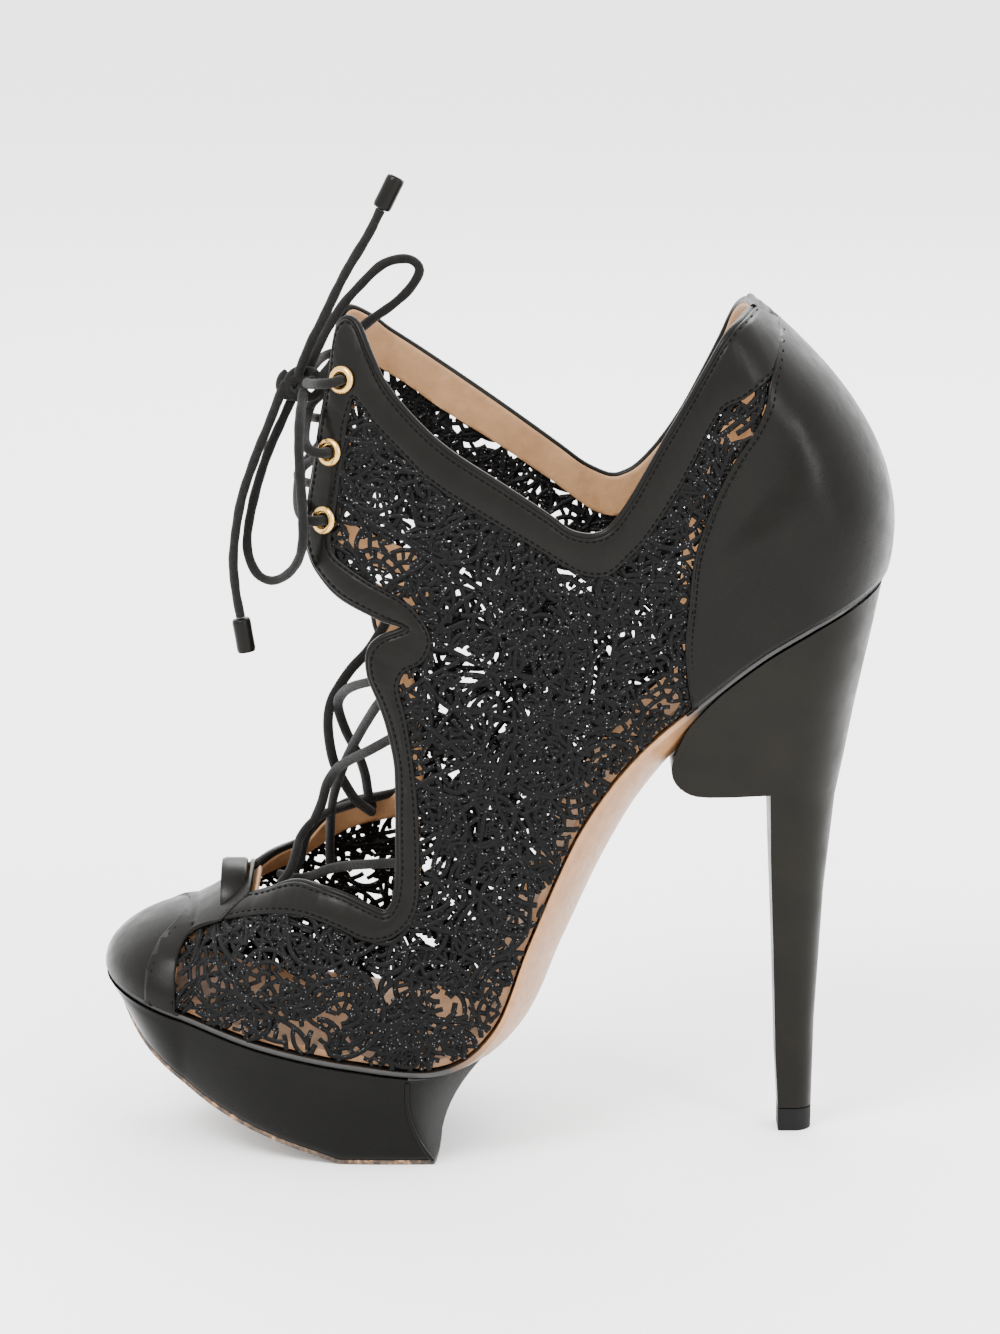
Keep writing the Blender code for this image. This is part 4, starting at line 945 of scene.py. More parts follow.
def make_ankle_laces():
    """Crossings between the ankle flaps: out of an eyelet, over the front and behind the other flap."""
    low = out_of(2, -1) + list(CROSS_LOW) + behind_flap(1, 1)
    high = out_of(1, -1) + list(CROSS_HIGH) + behind_flap(0, 1)
    ties = [out_of(0, -1) + list(TIE_NEAR), out_of(0, 1) + list(TIE_FAR)]
    routes = [low, hidden_side(low), high, hidden_side(high)] + ties
    laces = joined("ankle_laces", [tight_lace(route) for route in routes], LACE)
    keep(laces, "lace", "lace_cross_low", "lace_cross_high", "lace_tie_near", "lace_tie_far")


# Strands over the vamp: pixels in the photo and the depth y in millimetres
VAMP_STRANDS = (
    ((392, 612, 20), (379, 634, 14), (367, 652, 9), (352, 668, 5), (340, 685, 2), (331, 702, -1),
     (328, 722, -2), (330, 745, 0), (335, 765, 3), (344, 782, 9), (356, 800, 17), (372, 812, 26)),
    ((392, 676, -31), (373, 681, -27), (354, 686, -18), (343, 693, -8), (338, 706, -1), (346, 731, 4),
     (358, 754, 11), (365, 774, 18), (368, 792, 25), (372, 806, 30)),
    ((396, 686, -31), (379, 703, -26), (367, 721, -18), (356, 740, -10), (346, 760, -3), (340, 776, 3),
     (334, 795, 8), (331, 815, 13), (330, 840, 19), (330, 862, 22)),
    ((406, 730, -31), (390, 739, -26), (370, 750, -20), (350, 760, -11), (337, 769, -4), (327, 784, 0),
     (322, 802, 2), (315, 819, 4), (305, 838, 6), (300, 858, 8), (292, 876, 8)),
    ((398, 792, 33), (372, 798, 27), (346, 806, 18), (324, 814, 9), (310, 824, 3), (300, 838, 0),
     (296, 852, -3), (290, 870, -6), (280, 884, -8)),
    ((404, 864, -32), (392, 863, -29), (370, 864, -25), (345, 866, -17), (326, 870, -11), (312, 876, -6),
     (296, 878, -2), (280, 874, 4)),
)


def make_vamp_laces():
    routes = [[seen_at(px, py, y / 1000) for px, py, y in strand] for strand in VAMP_STRANDS]
    keep(joined("vamp_laces", [tight_lace(route) for route in routes], LACE), "lace", "lace_vamp")


# Net of cords

def inside(places, outline):
    """Which side-view places are inside an outline."""
    x, z = places[:, 0], places[:, 1]
    found = np.zeros(len(places), bool)
    for (x1, z1), (x2, z2) in zip(outline, np.roll(outline, -1, axis=0)):
        crossing = (z1 > z) != (z2 > z)
        if z1 != z2:
            found ^= crossing & (x < (x2 - x1) * (z - z1) / (z2 - z1) + x1)
    return found


def net_outline(side):
    """Closed outline of the net panel, with the sole line left open far below."""
    edge, seam = (line[1:-1] for line in trim_lines(side))
    away = edge - seam
    seam = seam + away / np.linalg.norm(away, axis=1, keepdims=True) * NET_TUCK
    front = side_places(TOE_BAND_REAR, side)[:-1] - (NET_TUCK, 0.0)
    counter = side_places(COUNTER_FRONT, side)[3:] + (NET_TUCK, 0.0)
    below = np.array(((0.3, 0.3), (0.0, 0.02), (-0.45, 0.0))) * (LENGTH, COLLAR_HEIGHT)
    return np.vstack([front, seam, counter, below])


def rosette(rng, centre):
    """Arcs round a centre with rungs between them, as places in the side view."""
    lines = []
    spacing = rng.uniform(0.0025, 0.0031)
    rings = rng.integers(2, 5)
    start = rng.uniform(0, 2 * math.pi)
    sweep = rng.uniform(2.2, 5.2)
    squash = rng.uniform(0.75, 1.0)
    lean = rng.uniform(0, math.pi)
    first = rng.uniform(0.0014, 0.0024)

    def at(radius, angle):
        x = radius * np.cos(angle)
        z = radius * np.sin(angle) * squash
        return np.stack([centre[0] + x * math.cos(lean) - z * math.sin(lean),
                         centre[1] + x * math.sin(lean) + z * math.cos(lean)], -1)

    for ring in range(rings):
        radius = first + ring * spacing
        trim = rng.uniform(-0.3, 0.3, 2)
        count = max(6, int(radius * sweep / CORD_STEP))
        angle = np.linspace(start + trim[0], start + sweep + trim[1], count)
        drift = radius * (1 + 0.05 * np.sin(3 * angle + rng.uniform(0, 6)))
        lines.append((at(drift, angle), 1.0))
        if ring == 0:
            continue
        gap = rng.uniform(0.0026, 0.0042) / radius
        for turn in np.arange(start + 0.2, start + sweep - 0.1, gap):
            slant = rng.uniform(-0.25, 0.25)
            rung = np.linspace(0, 1, 4)
            lines.append((at(radius - spacing * rung, turn + slant * rung), 0.85))
    return lines


def flowing(rng, centre, shortest=16, longest=38):
    """Long cord whose bend drifts."""
    count = rng.integers(shortest, longest)
    heading = rng.uniform(0, 2 * math.pi)
    bend = rng.uniform(-160, 160)
    places = [np.array(centre)]
    for _ in range(count):
        bend += rng.uniform(-45, 45) - 0.06 * bend
        heading += bend * CORD_STEP
        places.append(places[-1] + CORD_STEP * np.array([math.cos(heading), math.sin(heading)]))
    return [(np.array(places), 1.0)]


def strewn(rng, low, high, spacing):
    """Places about a spacing apart in a box."""
    found = []
    for x in np.arange(low[0], high[0], spacing):
        for z in np.arange(low[1], high[1], spacing):
            found.append(np.array((x, z)) + rng.uniform(-0.42, 0.42, 2) * spacing)
    return found


def steps_within(reach):
    """Grid steps no further than a reach, in cells."""
    span = range(-int(reach), int(reach) + 1)
    return [(i, j) for i in span for j in span if i * i + j * j <= reach * reach]


def fill_gaps(rng, lines, outline, low, high):
    """Short cords across each gap that is wider than about 3 mm."""
    count = ((high - low) / CELL).astype(int) + 1
    grid = np.stack(np.meshgrid(np.arange(count[0]), np.arange(count[1]), indexing="ij"), -1)
    bare = inside(low + grid.reshape(-1, 2) * CELL, outline).reshape(count)
    cord = steps_within(1.3)
    gap = steps_within(2.6)

    def mark(line):
        at = np.round((line - low) / CELL).astype(int)
        for i, j in cord:
            near = at + (i, j)
            near = near[((near >= 0) & (near < count)).all(1)]
            bare[near[:, 0], near[:, 1]] = False

    for line, _ in lines:
        mark(line)
    for _ in range(GAP_CORDS):
        deep = bare.copy()
        for i, j in gap:
            deep &= np.roll(bare, (i, j), (0, 1))
        places = np.argwhere(deep)
        if not len(places):
            break
        new = flowing(rng, low + places[rng.integers(len(places))] * CELL, 6, 13)
        mark(new[0][0])
        lines += new


def runs_inside(line, outline):
    """Stretches of a line that lie in the panel."""
    good = inside(line, outline)
    breaks = np.flatnonzero(np.diff(good)) + 1
    runs = zip(np.split(line, breaks), good[np.append(0, breaks)])
    return [run for run, kept in runs if kept and len(run) > 2]


def on_panel(run, side):
    """u and v of a run on the last, without ends that the last doesn't reach, or None."""
    u, v = find_uv(run, side)
    miss = np.linalg.norm(last_points(u, v, side)[:, [0, 2]] - run, axis=1)
    good = (miss < NET_MISS) & (v > 0.004)
    if not good.any():
        return None
    first = int(np.argmax(good))
    last = len(good) - int(np.argmax(good[::-1]))
    if last - first < 3 or not good[first:last].all():
        return None
    return u[first:last], v[first:last]


def make_net(side, word):
    rng = np.random.default_rng(NET_SEED + side)
    outline = net_outline(side)
    low = outline[:-3].min(0) - NET_MARGIN
    high = outline.max(0) + NET_MARGIN
    low[1] = NET_LOWEST
    lines = []
    for place in strewn(rng, low, high, ROSETTE_SPACING):
        lines += rosette(rng, place)
    for place in strewn(rng, low, high, FLOW_SPACING):
        lines += flowing(rng, place)
    fill_gaps(rng, lines, outline, low, high)
    parts = []
    for line, share in lines:
        for run in runs_inside(line, outline):
            found = on_panel(run, side)
            if found is None:
                continue
            u, v = found
            normals = last_normals(u, v, side)
            level = rng.uniform(-0.0006, 0.0003)
            wave = 0.00018 * np.sin(np.arange(len(u)) * rng.uniform(0.6, 1.4) + rng.uniform(0, 6))
            centre = last_points(u, v, side) + normals * (level + wave)[:, None]
            thick = CORD_WIDTH * share * rng.uniform(0.85, 1.12)
            parts.append(tube_parts(centre, thick, 6, normals, CORD_HEIGHT / CORD_WIDTH))
    return joined(f"net_{word}", parts, NET)


# Leather

def band_ends(side):
    """Evenly spaced places along the trim's edge and its seam, matched row by row."""
    fine = smooth_line(np.hstack(trim_lines(side)), LINE_STEP * 1.1)
    return fine[:, :2], fine[:, 2:]


def band_mesh(name, side, look, profile, wrinkle):
    """Closed strip between edge and seam with the section that the profile gives."""
    edge, seam = band_ends(side)
    width = np.linalg.norm(seam - edge, axis=1)
    row = np.arange(len(width))
    waves = np.sin(0.55 * row) + 0.6 * np.sin(1.27 * row + 1) + 0.5 * np.sin(2.1 * row)
    columns = []
    for start, distance, height in profile:
        share = start + distance / width
        if distance:
            share = np.clip(share, 0.02, 0.98)
        lift = height + wrinkle * waves if height > -WALL else np.full(len(width), height)
        columns.append(on_last(edge + (seam - edge) * share[:, None], side, lift[:, None])[0])
    vertices = np.stack(columns, 1).reshape(-1, 3)
    return fix_normals(mesh_object(name, vertices, ring_faces(len(edge), len(profile)), look, sharp=70))


# Sections of the strips: from the edge (0), the middle (0.5) or the seam (1), distance from it, height
OUTER_PROFILE = (
    (0, 0.0, -0.0012), (0, 0.0, -0.0004), (0, 0.0001, 0.0004), (0, 0.0004, 0.0009), (0, 0.0008, 0.0011),
    (0, 0.0012, 0.00092), (0, 0.0016, 0.00115), (0, 0.0024, 0.0013), (0.5, 0.0, 0.00138),
    (1, -0.0022, 0.0013), (1, -0.0016, 0.00115), (1, -0.0012, 0.00092), (1, -0.0008, 0.0011),
    (1, -0.0004, 0.0009), (1, -0.0001, 0.0005), (1, -0.0001, -0.0002), (0.5, 0.0, -0.0003),
)
LINING_PROFILE = (
    (0, 0.0, -0.0010), (0, 0.0, -0.0018), (0, 0.0004, -0.0021), (0, 0.0012, -0.0022), (0.5, 0.0, -0.0021),
    (1, -0.0012, -0.0022), (1, -0.0003, -0.0020), (1, -0.0001, -0.0013), (0.5, 0.0, -0.0012),
)


def make_trims():
    for side, word in SIDES:
        nodes = ("leather_trim",) if side < 0 else ()
        keep(band_mesh(f"trim_{word}", side, LEATHER, OUTER_PROFILE, 0.00004), "leather", *nodes)
        keep(band_mesh(f"trim_lining_{word}", side, TAN_LINING, LINING_PROFILE, 0.00026), "tan")
        edge = rolled_edge(band_ends(side)[0], side, -0.0005, 0.00095, 10, 1.15)
        keep(joined(f"trim_edge_{word}", [edge], LEATHER), "leather")


def cut_along(bm, side, line):
    """Cut one side of a sheet along a side-view line."""
    for start, end in zip(line[:-1], line[1:]):
        middle = (start + end) / 2
        reach = np.linalg.norm(end - start) / 2 + 0.0025
        faces = [f for f in bm.faces if side * f.calc_center_median().y > -0.002
                 and abs(f.calc_center_median().x - middle[0]) < reach
                 and abs(f.calc_center_median().z - middle[1]) < reach]
        edges = {e for f in faces for e in f.edges}
        verts = {v for f in faces for v in f.verts}
        across = Vector((end[1] - start[1], 0.0, -(end[0] - start[0])))
        if faces and across.length > 1e-9:
            bmesh.ops.bisect_plane(bm, geom=faces + list(edges) + list(verts), dist=1e-6,
                                   plane_co=(start[0], 0.0, start[1]), plane_no=across.normalized())


def sheet_patch(name, low_u, high_u, keep_face, outlines, out, thickness, look, dents=lambda place: 0.0):
    """Sheet on the last between two rows, cut along side-view outlines, kept where keep_face says."""
    over = np.concatenate([np.linspace(0, 0.9, 60), np.linspace(0.91, 1.0, 10)])
    bm = bmesh.new()
    rings = []
    for u in np.linspace(low_u, high_u, max(8, int((high_u - low_u) / 0.055))):
        line = [last_points(u, over, -1), last_points(u, np.array([2.0]), 1), last_points(u, over[::-1], 1)]
        rings.append([bm.verts.new(p) for p in np.vstack(line)])
    for a, b in zip(rings[:-1], rings[1:]):
        for k in range(len(a) - 1):
            bm.faces.new((a[k], a[k + 1], b[k + 1], b[k]))
    bmesh.ops.remove_doubles(bm, verts=bm.verts, dist=2e-5)
    for side, line in outlines:
        cut_along(bm, side, line)
    bmesh.ops.recalc_face_normals(bm, faces=bm.faces)
    bm.normal_update()
    highest = max(bm.faces, key=lambda f: f.calc_center_median().z)
    if highest.normal.z < 0:
        bmesh.ops.reverse_faces(bm, faces=bm.faces)
        bm.normal_update()
    good = keep_face(np.array([f.calc_center_median() for f in bm.faces]))
    bad = [f for f, fine in zip(bm.faces, good) if not fine]
    for v, normal in [(v, v.normal.copy()) for v in bm.verts]:
        v.co += normal * (out + dents(v.co))
    bmesh.ops.delete(bm, geom=bad, context="FACES")
    mesh = bpy.data.meshes.new(name)
    bm.to_mesh(mesh)
    bm.free()
    mesh.shade_smooth()
    mesh.materials.append(look)
    obj = bpy.data.objects.new(name, mesh)
    bpy.context.scene.collection.objects.link(obj)
    wall = obj.modifiers.new("Wall", "SOLIDIFY")
    wall.thickness = thickness
    wall.offset = 1
    wall.use_even_offset = False
    return obj


def line_x(z, line):
    """Place along x of a side-view line at each height."""
    order = np.argsort(line[:, 1])
    return np.interp(z, line[order, 1], line[order, 0])


def counter_dents(p):
    """Soft creases low at the front of the counter and below the topline."""
    dents = 0.0
    for x, z, long, wide, depth, lean in COUNTER_CREASES:
        along = (p.x - x) * math.cos(lean) + (p.z - z) * math.sin(lean)
        across = -(p.x - x) * math.sin(lean) + (p.z - z) * math.cos(lean)
        dents += depth * math.exp(-(along / long) ** 2 - (across / wide) ** 2)
    return dents


def counter_rim(top):
    """Places along the counter's top edge, from the near side round the back to the far side."""
    v = np.linspace(0.5, 1.0, 400)
    halves = []
    for side in (-1, 1):
        found = []
        for u in np.linspace(9.55, LAST_ROW + 1, 60):
            heights = last_points(u, v, side)[:, 2]
            at = np.interp(top, heights, v) if heights.max() > top else 1.0
            normal = last_normals(np.array(u - 0.02), np.array(at - 0.02), side)
            found.append(last_points(u, at, side) + normal * COUNTER_LIFT)
        found = np.array(found)
        halves.append(found[found[:, 0] > from_toe(0.822)])
    return np.vstack([halves[0], halves[1][::-1][1:]])


def make_counter():
    top = COUNTER_TOP * COLLAR_HEIGHT
    lines = [(side, smooth_line(side_places(COUNTER_FRONT, side), 0.002)) for side in (-1, 1)]
    top_line = np.array([(0.06, top), (0.08, top)])
    cuts = lines + [(-1, top_line), (1, top_line)]

    def behind(centres):
        x, y, z = centres.T
        front = np.where(y < 0, line_x(z, lines[0][1]), line_x(z, lines[1][1]))
        return (x > front) & (z < top)

    cup = sheet_patch("counter_cup", COUNTER_START, LAST_ROW + 1, behind, cuts, COUNTER_LIFT, COUNTER_WALL,
                      COUNTER_LEATHER, counter_dents)
    keep(cup, "leather", "heel_counter")
    lining = sheet_patch("counter_lining", COUNTER_START, LAST_ROW + 0.98, behind, cuts, *COUNTER_LINING,
                         TAN_LINING)
    keep(lining, "tan")
    parts = [rolled_edge(line[line[:, 1] < top - 0.0004], side, EDGE_HEIGHT) for side, line in lines]
    parts.append(tube_parts(even(counter_rim(top), 0.001), 0.00105, 10))
    keep(joined("counter_edges", parts, COUNTER_LEATHER), "leather")


def make_toe():
    front = [(side, smooth_line(side_places(TOE_BAND_FRONT, side), 0.0015)) for side in (-1, 1)]
    rear = [(side, smooth_line(side_places(TOE_BAND_REAR, side), 0.0015)) for side in (-1, 1)]
    throat = [(side, side_places(TOE_BAND_REAR[-1:] + THROAT_FRONT, side)) for side in (-1, 1)]
    under_band = [(side, line + np.array((0.0014, 0.0))) for side, line in front]
    rear_line = np.vstack([rear[0][1][:-1], throat[0][1]])
    cuts = front + rear + throat

    def ahead(centres):
        return centres[:, 0] < line_x(centres[:, 2], under_band[0][1])

    def band(centres):
        x, z = centres[:, 0], centres[:, 2]
        return (x >= line_x(z, front[0][1])) & (x < line_x(z, rear_line))

    def creases(p):
        return 0.00012 * math.sin(700 * p.z + 260 * p.x)

    cap = sheet_patch("toe_cap_leather", -1.0, 0.9, ahead, under_band, CAP_LIFT, CAP_WALL, LEATHER)
    keep(cap, "leather", "toe_cap")
    keep(sheet_patch("toe_band", -0.9, 1.6, band, cuts, BAND_LIFT, BAND_WALL, LEATHER, creases), "leather")
    keep(sheet_patch("toe_lining", -0.95, 1.3, band, cuts, *TOE_LINING, TAN_LINING), "tan")
    keep(sheet_patch("toe_cap_lining", -0.96, 0.9, ahead, under_band, *TOE_LINING, TAN_LINING), "tan")
    parts = [rolled_edge(line[line[:, 1] > 0.030], side, EDGE_HEIGHT) for side, line in front + rear]
    keep(joined("toe_edges", parts, LEATHER), "leather")


def stitch_parts(places, side, height):
    """Thread stitches along side-view places."""
    points, normals = on_last(smooth_line(places, STITCH_PITCH), side, height)
    parts = []
    for p, n, t in zip(points, normals, directions(points)):
        reach = t * STITCH_LENGTH / 2
        sunk = n * STITCH_RADIUS
        route = np.array([p - reach - sunk, p - reach * 0.5, p + reach * 0.5, p + reach - sunk])
        parts.append(tube_parts(route, STITCH_RADIUS, 5, np.tile(n, (4, 1))))
    return parts


def make_stitches():
    parts = []
    for side in (-1, 1):
        edge, seam = band_ends(side)
        inset = (seam - edge) / np.linalg.norm(seam - edge, axis=1)[:, None] * STITCH_INSET
        counter = smooth_line(side_places(COUNTER_FRONT, side), 0.002)
        band = smooth_line(side_places(TOE_BAND_FRONT, side), 0.002)
        aft = np.array([STITCH_INSET, 0])
        for places, height in ((edge + inset, 0.00105), (seam - inset, 0.00105), (counter + aft, 0.0013),
                               (band[band[:, 1] > 0.034] + aft, 0.0013)):
            parts += stitch_parts(places, side, height)
    keep(joined("stitches", parts, THREAD), "leather")


def make_tab():
    """Leather loop that stands over the front of the throat, with a tan inside."""
    count = 33
    for name, look, slot, inner, outer, nodes in (
            ("tab_leather", LEATHER, "leather", 0.0006, 0.0013, ("throat_tab",)),
            ("tab_lining", TAN_LINING, "tan", 0.0, 0.0005, ())):
        reaches = [outer, outer + 0.00032, outer + 0.00032, outer] + [inner] * 4
        vertices = []
        for a in math.pi * (1.12 - 1.24 * np.linspace(0, 1, count)):
            for x, reach in zip(TAB_RIM + TAB_RIM[::-1], reaches):
                vertices.append((x, TAB_MIDDLE[0] + (TAB_REACH[0] + reach) * math.cos(a),
                                 TAB_MIDDLE[1] + (TAB_REACH[1] + reach) * math.sin(a)))
        tab = mesh_object(name, vertices, ring_faces(count, 8), look, sharp=60)
        keep(fix_normals(tab), slot, *nodes)


# Soles

def crown_at(u):
    return np.interp(u, [row[0] for row in CROWN], [row[1] for row in CROWN]) * BALL_WIDTH


def station_at(u, inset):
    """Section of the last at one u, its end caps drawn in by the inset."""
    row, wide = sections(np.array(u))[:2]
    if u < 0 or u > LAST_ROW:
        end, start = (TOE_TIP, LAST_ROWS[0]) if u < 0 else (HEEL_BACK, LAST_ROWS[-1])
        reach = 1 - inset / (abs(end[0] - start[0]) * LENGTH)
        angle = (-u if u < 0 else u - LAST_ROW) * math.pi / 2
        row = np.array(start) + math.sin(angle) * reach * (np.array(end) - np.array(start))
    return row, float(wide)


def foot_frame(u, inset=0.0):
    """Middle of the foot's edge line, the direction out of the sole, half width and centre at u."""
    row, wide = station_at(u, inset)
    step = 0.02
    ahead = station_at(min(u + step, LAST_ROW + 1), inset)[0]
    behind = station_at(max(u - step, -1), inset)[0]
    along = np.array([(ahead[0] - behind[0]) * LENGTH, (ahead[1] - behind[1]) * COLLAR_HEIGHT])
    along /= max(np.linalg.norm(along), 1e-9)
    place = np.array([from_toe(row[0]), row[1] * COLLAR_HEIGHT])
    out = np.array([along[1], -along[0]])
    return place, out, (row[5] * BALL_WIDTH - inset) * wide, row[9] * BALL_WIDTH


def sole_point(u, share, depth, crown=1.0, inset=0.0):
    place, out, half, centre = foot_frame(u, inset)
    bulge = crown * crown_at(u) * max(0.0, 1 - abs(share) ** 2.2)
    x, z = place + out * (depth + bulge)
    return np.array((x, centre + share * half, z))


def fine_stations():
    toe = list(np.linspace(-1, 0, 18)[:-1])
    middle = list(np.linspace(0, LAST_ROW, 90))
    heel = list(np.linspace(LAST_ROW, LAST_ROW + 1, 18)[1:])
    return toe + middle + heel


def sole_sheet(name, top, bottom, crown, inset, look, edge):
    """Layer that follows the foot's edge line, its rim rounded by edge."""
    across = np.concatenate([[-1.0], -np.cos(np.linspace(0.12, math.pi - 0.12, 17)), [1.0]])
    vertices = []
    stations = fine_stations()
    for u in stations:
        upper_line = [sole_point(u, s, top, 0.0, inset) for s in across]
        lower_line = [sole_point(u, s, bottom, crown, inset) for s in across[::-1]]
        pull = min(edge, 0.3 * foot_frame(u, inset)[2])
        for corner in (upper_line[0], upper_line[-1], lower_line[0], lower_line[-1]):
            corner[1] -= pull if corner[1] > 0 else -pull
        vertices += upper_line + lower_line
    faces = ring_faces(len(stations), 2 * len(across), False)
    return fix_normals(mesh_object(name, vertices, faces, look, sharp=40), True)


def make_soles():
    outsole = sole_sheet("outsole_leather", GAP, GAP + SOLE_EDGE, 1.0, 0.0, SOLE, 0.0)
    keep(outsole, "tan", "outsole")
    inset = INSOLE_INSET * 0.55
    insole = sole_sheet("insole_sock", -GAP - INSOLE_THICKNESS, -GAP, 0.0, inset, INSOLE_LOOK, 0.0003)
    keep(insole, "tan", "insole")


def tread_height(x):
    share = (x + LENGTH / 2) / LENGTH
    line = np.array(TREAD_LINE)
    coarse = np.interp(share, line[:, 0], line[:, 1])
    wide = 0.012
    around = [np.interp(share + d, line[:, 0], line[:, 1]) for d in np.linspace(-wide, wide, 7)]
    smooth = float(np.mean(around)) if share < 0.285 else coarse
    return smooth * COLLAR_HEIGHT


def row_at(share):
    rows = np.linspace(0, 6, 241)
    places = sections(rows)[0][:, 0]
    return float(np.interp(share, places, rows))


PLATFORM_ACROSS = np.concatenate([[-1.0], -np.cos(np.linspace(0.14, math.pi - 0.14, 13)), [1.0]])
PLATFORM_LEVELS = (0.03, 0.07, 0.10, 0.16, 0.25, 0.36, 0.48, 0.60, 0.72, 0.83, 0.92, 0.98, 1.0)


def platform_ring(u, narrow, foot_x, rear):
    """Outline across the platform: its seat, its sides with a seam line below the top, and its underside."""
    half, centre = foot_frame(u)[2:]
    wide = (half + PLATFORM_LEDGE) * narrow
    seat = []
    for s in PLATFORM_ACROSS:
        share = s * wide / half if half > 1e-6 else 0.0
        p = sole_point(u, max(-1.0, min(1.0, share)), SOLE_EDGE + 2 * GAP)
        p[1] = centre + s * wide
        seat.append(p)
    foot_z = tread_height(foot_x) + TREAD + GAP * 0.2
    sides = []
    for s, top in ((1, seat[-1]), (-1, seat[0])):
        line = []
        for level in PLATFORM_LEVELS:
            y = top[1] + (centre + s * wide * PLATFORM_FOOT_SHARE - top[1]) * level ** 1.8
            y -= s * 0.00025 * math.exp(-((level - 0.085) / 0.018) ** 2) * (1 - rear)
            y -= s * 0.0004 * max(0.0, level - 0.97) / 0.03 * narrow
            hollow = REAR_HOLLOW * LENGTH * rear * 4 * level * (1 - level)
            x = top[0] + (foot_x - top[0]) * level - hollow
            line.append(np.array((x, y, top[2] + (foot_z - top[2]) * level)))
        sides.append(line)
    return seat + sides[0] + sides[1][::-1]


def platform_rings():
    """Outlines from the toe back and over the rear face, and how many come before the rear face."""
    rings = []
    for u in np.concatenate([np.linspace(-1, 0, 22)[:-1], np.linspace(0, 2.35, 44)]):
        share = (foot_frame(u)[0][0] + LENGTH / 2) / LENGTH
        nose = PLATFORM_NOSE * max(0.0, 1 - share / LAST_ROWS[0][0])
        rings.append(platform_ring(u, 1.0, from_toe(share + nose), 0.0))
    front = len(rings)
    steps = 18
    for k in range(steps + 1):
        turn = k / steps * math.pi / 2
        share = REAR_START + (REAR_END - REAR_START) * math.sin(turn)
        foot_share = REAR_FOOT_START + (REAR_FOOT_END - REAR_FOOT_START) * math.sin(turn)
        narrow = math.cos(turn) if k < steps else 0.0
        rings.append(platform_ring(row_at(share), narrow, from_toe(foot_share), 1.0))
    return rings, front


def nose_faces(rings, sides):
    """Quads between rings with a face over the first one."""
    return ring_faces(rings, sides, False) + [tuple(reversed(range(sides)))]


def make_platform():
    rings, front = platform_rings()
    columns = len(rings[0])
    vertices = [p for ring in rings for p in ring]
    wrap = mesh_object("platform_wrap", vertices, nose_faces(len(rings), columns), PATENT, sharp=35)
    wrap.data.materials.append(SUEDE)
    for polygon in wrap.data.polygons:
        if min(polygon.vertices) >= front * columns:
            polygon.material_index = 1
    keep(fix_normals(wrap), "patent", "platform")
    levels = len(PLATFORM_LEVELS)
    corners = np.array(rings[front][len(PLATFORM_ACROSS):])
    parts = [tube_parts(even(line, 0.001), 0.0006, 8) for line in (corners[:levels], corners[levels:])]
    keep(joined("platform_lip", parts, PATENT), "patent")
    treads = []
    for ring in rings:
        far, near = ring[-levels - 1], ring[-levels]
        ground = tread_height(far[0])
        ys = np.linspace(near[1], far[1], 9)
        treads += [(far[0], y, ground + TREAD) for y in ys] + [(far[0], y, ground) for y in ys[::-1]]
    tread = mesh_object("platform_tread_sole", treads, nose_faces(len(rings), 18), TREAD_WORN, sharp=35)
    keep(fix_normals(tread), "tan", "platform_tread")


# Heel

def prism_mesh(name, outline, look):
    """Side-view outline drawn out across the shoe."""
    vertices = [(from_toe(x), y, z * COLLAR_HEIGHT) for y in (-BALL_WIDTH, BALL_WIDTH) for x, z in outline]
    return fix_normals(mesh_object(name, vertices, ring_faces(2, len(outline)), look, sharp=20))


def lofted(name, rings, sharp):
    """Closed body through rings of places."""
    vertices = [p for ring in rings for p in ring]
    return fix_normals(mesh_object(name, vertices, ring_faces(len(rings), len(rings[0])), HEEL_LOOK, sharp))


def heel_envelope(low, high):
    """Block with round back that tapers to the tip."""
    table = np.array(HEEL_SECTIONS)
    turns = np.linspace(0, math.pi / 2, 13)
    front = from_toe(0.66)
    rings = []
    for z in np.linspace(low, high, 60):
        back, half, depth = (np.interp(z, table[:, 0], column) for column in table[:, 1:].T)
        wide = half * BALL_WIDTH
        deep = depth * BALL_WIDTH
        far = [(from_toe(back) - deep + deep * math.cos(a), wide * math.sin(a)) for a in turns]
        near = [(x, -y) for x, y in reversed(far[1:])]
        plan = [(front, -0.96 * wide)] + near + far + [(front, 0.96 * wide)]
        rings.append([(x, y, z * COLLAR_HEIGHT) for x, y in plan])
    return lofted("heel_envelope", rings, 30)


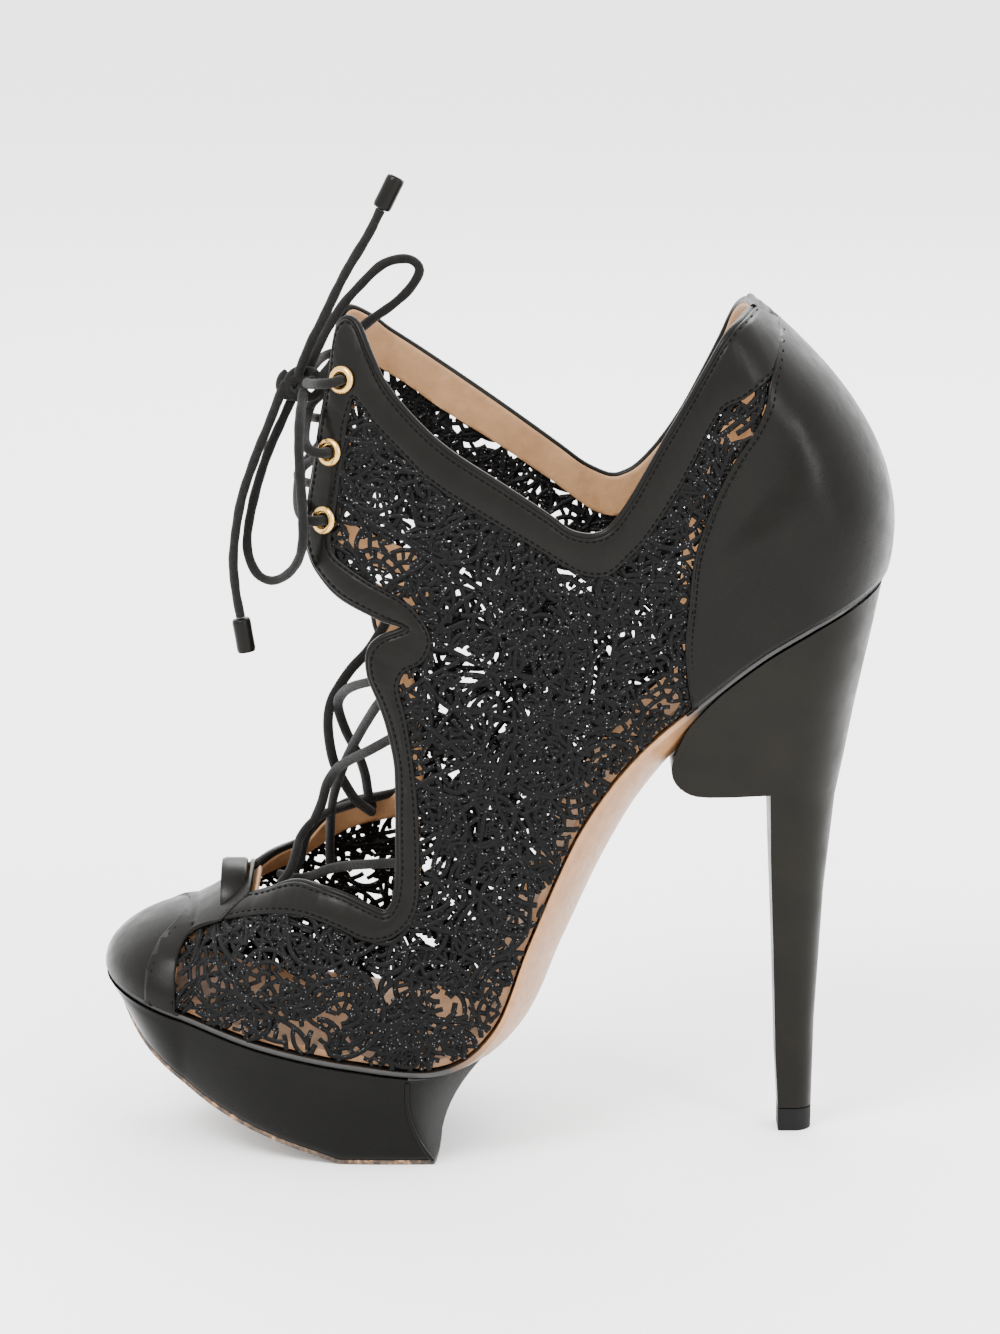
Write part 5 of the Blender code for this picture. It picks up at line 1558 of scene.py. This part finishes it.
def foot_space():
    """All the space above the outsole's underside at the back half of the shoe."""
    depth = SOLE_EDGE + 3 * GAP
    rings = []
    for u in np.linspace(6.0, LAST_ROW, 30):
        _, out, half, centre = foot_frame(u)
        line = []
        for s in np.concatenate([[-1.6], np.linspace(-1, 1, 15), [1.6]]):
            p = sole_point(u, max(-1.0, min(1.0, s)), depth)
            p[1] = centre + s * half
            line.append(p)
        rings.append(line + [p - np.array((out[0], 0, out[1])) * 0.06 for p in reversed(line)])
    place, out = foot_frame(LAST_ROW + 0.999)[:2]
    first = place + out * depth
    shift = np.array((first[0], 0, first[1])) - np.array((rings[-1][0][0], 0, rings[-1][0][2]))
    rings.append([p + shift * 2 for p in rings[-1]])
    return lofted("foot_space", rings, 45)


def boolean(obj, other, operation):
    made = obj.modifiers.new(operation, "BOOLEAN")
    made.object = other
    made.operation = operation
    made.solver = "EXACT"
    bpy.context.view_layer.objects.active = obj
    bpy.ops.object.modifier_apply(modifier=made.name)


def round_edges(obj, width, segments):
    bevel = obj.modifiers.new("Edges", "BEVEL")
    bevel.width = width
    bevel.segments = segments
    bevel.limit_method = "ANGLE"
    bevel.angle_limit = math.radians(40)
    obj.data.shade_smooth()
    obj.data.set_sharp_from_angle(angle=math.radians(40))


def make_heel():
    foot = (HEEL_TIP_HEIGHT + GAP) / COLLAR_HEIGHT
    outline = ((HEEL_TIP_FRONT, foot), *HEEL_OUTLINE, (HEEL_PAST, foot))
    block = prism_mesh("heel_block_leather", outline, HEEL_LOOK)
    envelope = heel_envelope(-0.01, 0.77)
    space = foot_space()
    boolean(block, envelope, "INTERSECT")
    boolean(block, space, "DIFFERENCE")
    round_edges(block, 0.0004, 3)
    keep(block, "heel", "heel_block")
    top = HEEL_TIP_HEIGHT / COLLAR_HEIGHT
    outline = ((HEEL_TIP_FRONT, 0.0), (HEEL_PAST, 0.0), (HEEL_PAST, top), (HEEL_TIP_FRONT, top))
    tip = prism_mesh("heel_tip_rubber", outline, RUBBER)
    boolean(tip, envelope, "INTERSECT")
    round_edges(tip, 0.0003, 2)
    keep(tip, "rubber", "heel_tip")
    bpy.data.objects.remove(envelope, do_unlink=True)
    bpy.data.objects.remove(space, do_unlink=True)


make_camera()
make_free_laces()
make_studio()
make_ankle_laces()
make_vamp_laces()
make_eyelets()
keep(make_net(-1, "near"), "net", "upper")
keep(make_net(1, "far"), "net")
make_trims()
make_counter()
make_toe()
make_stitches()
make_tab()
make_soles()
make_platform()
make_heel()
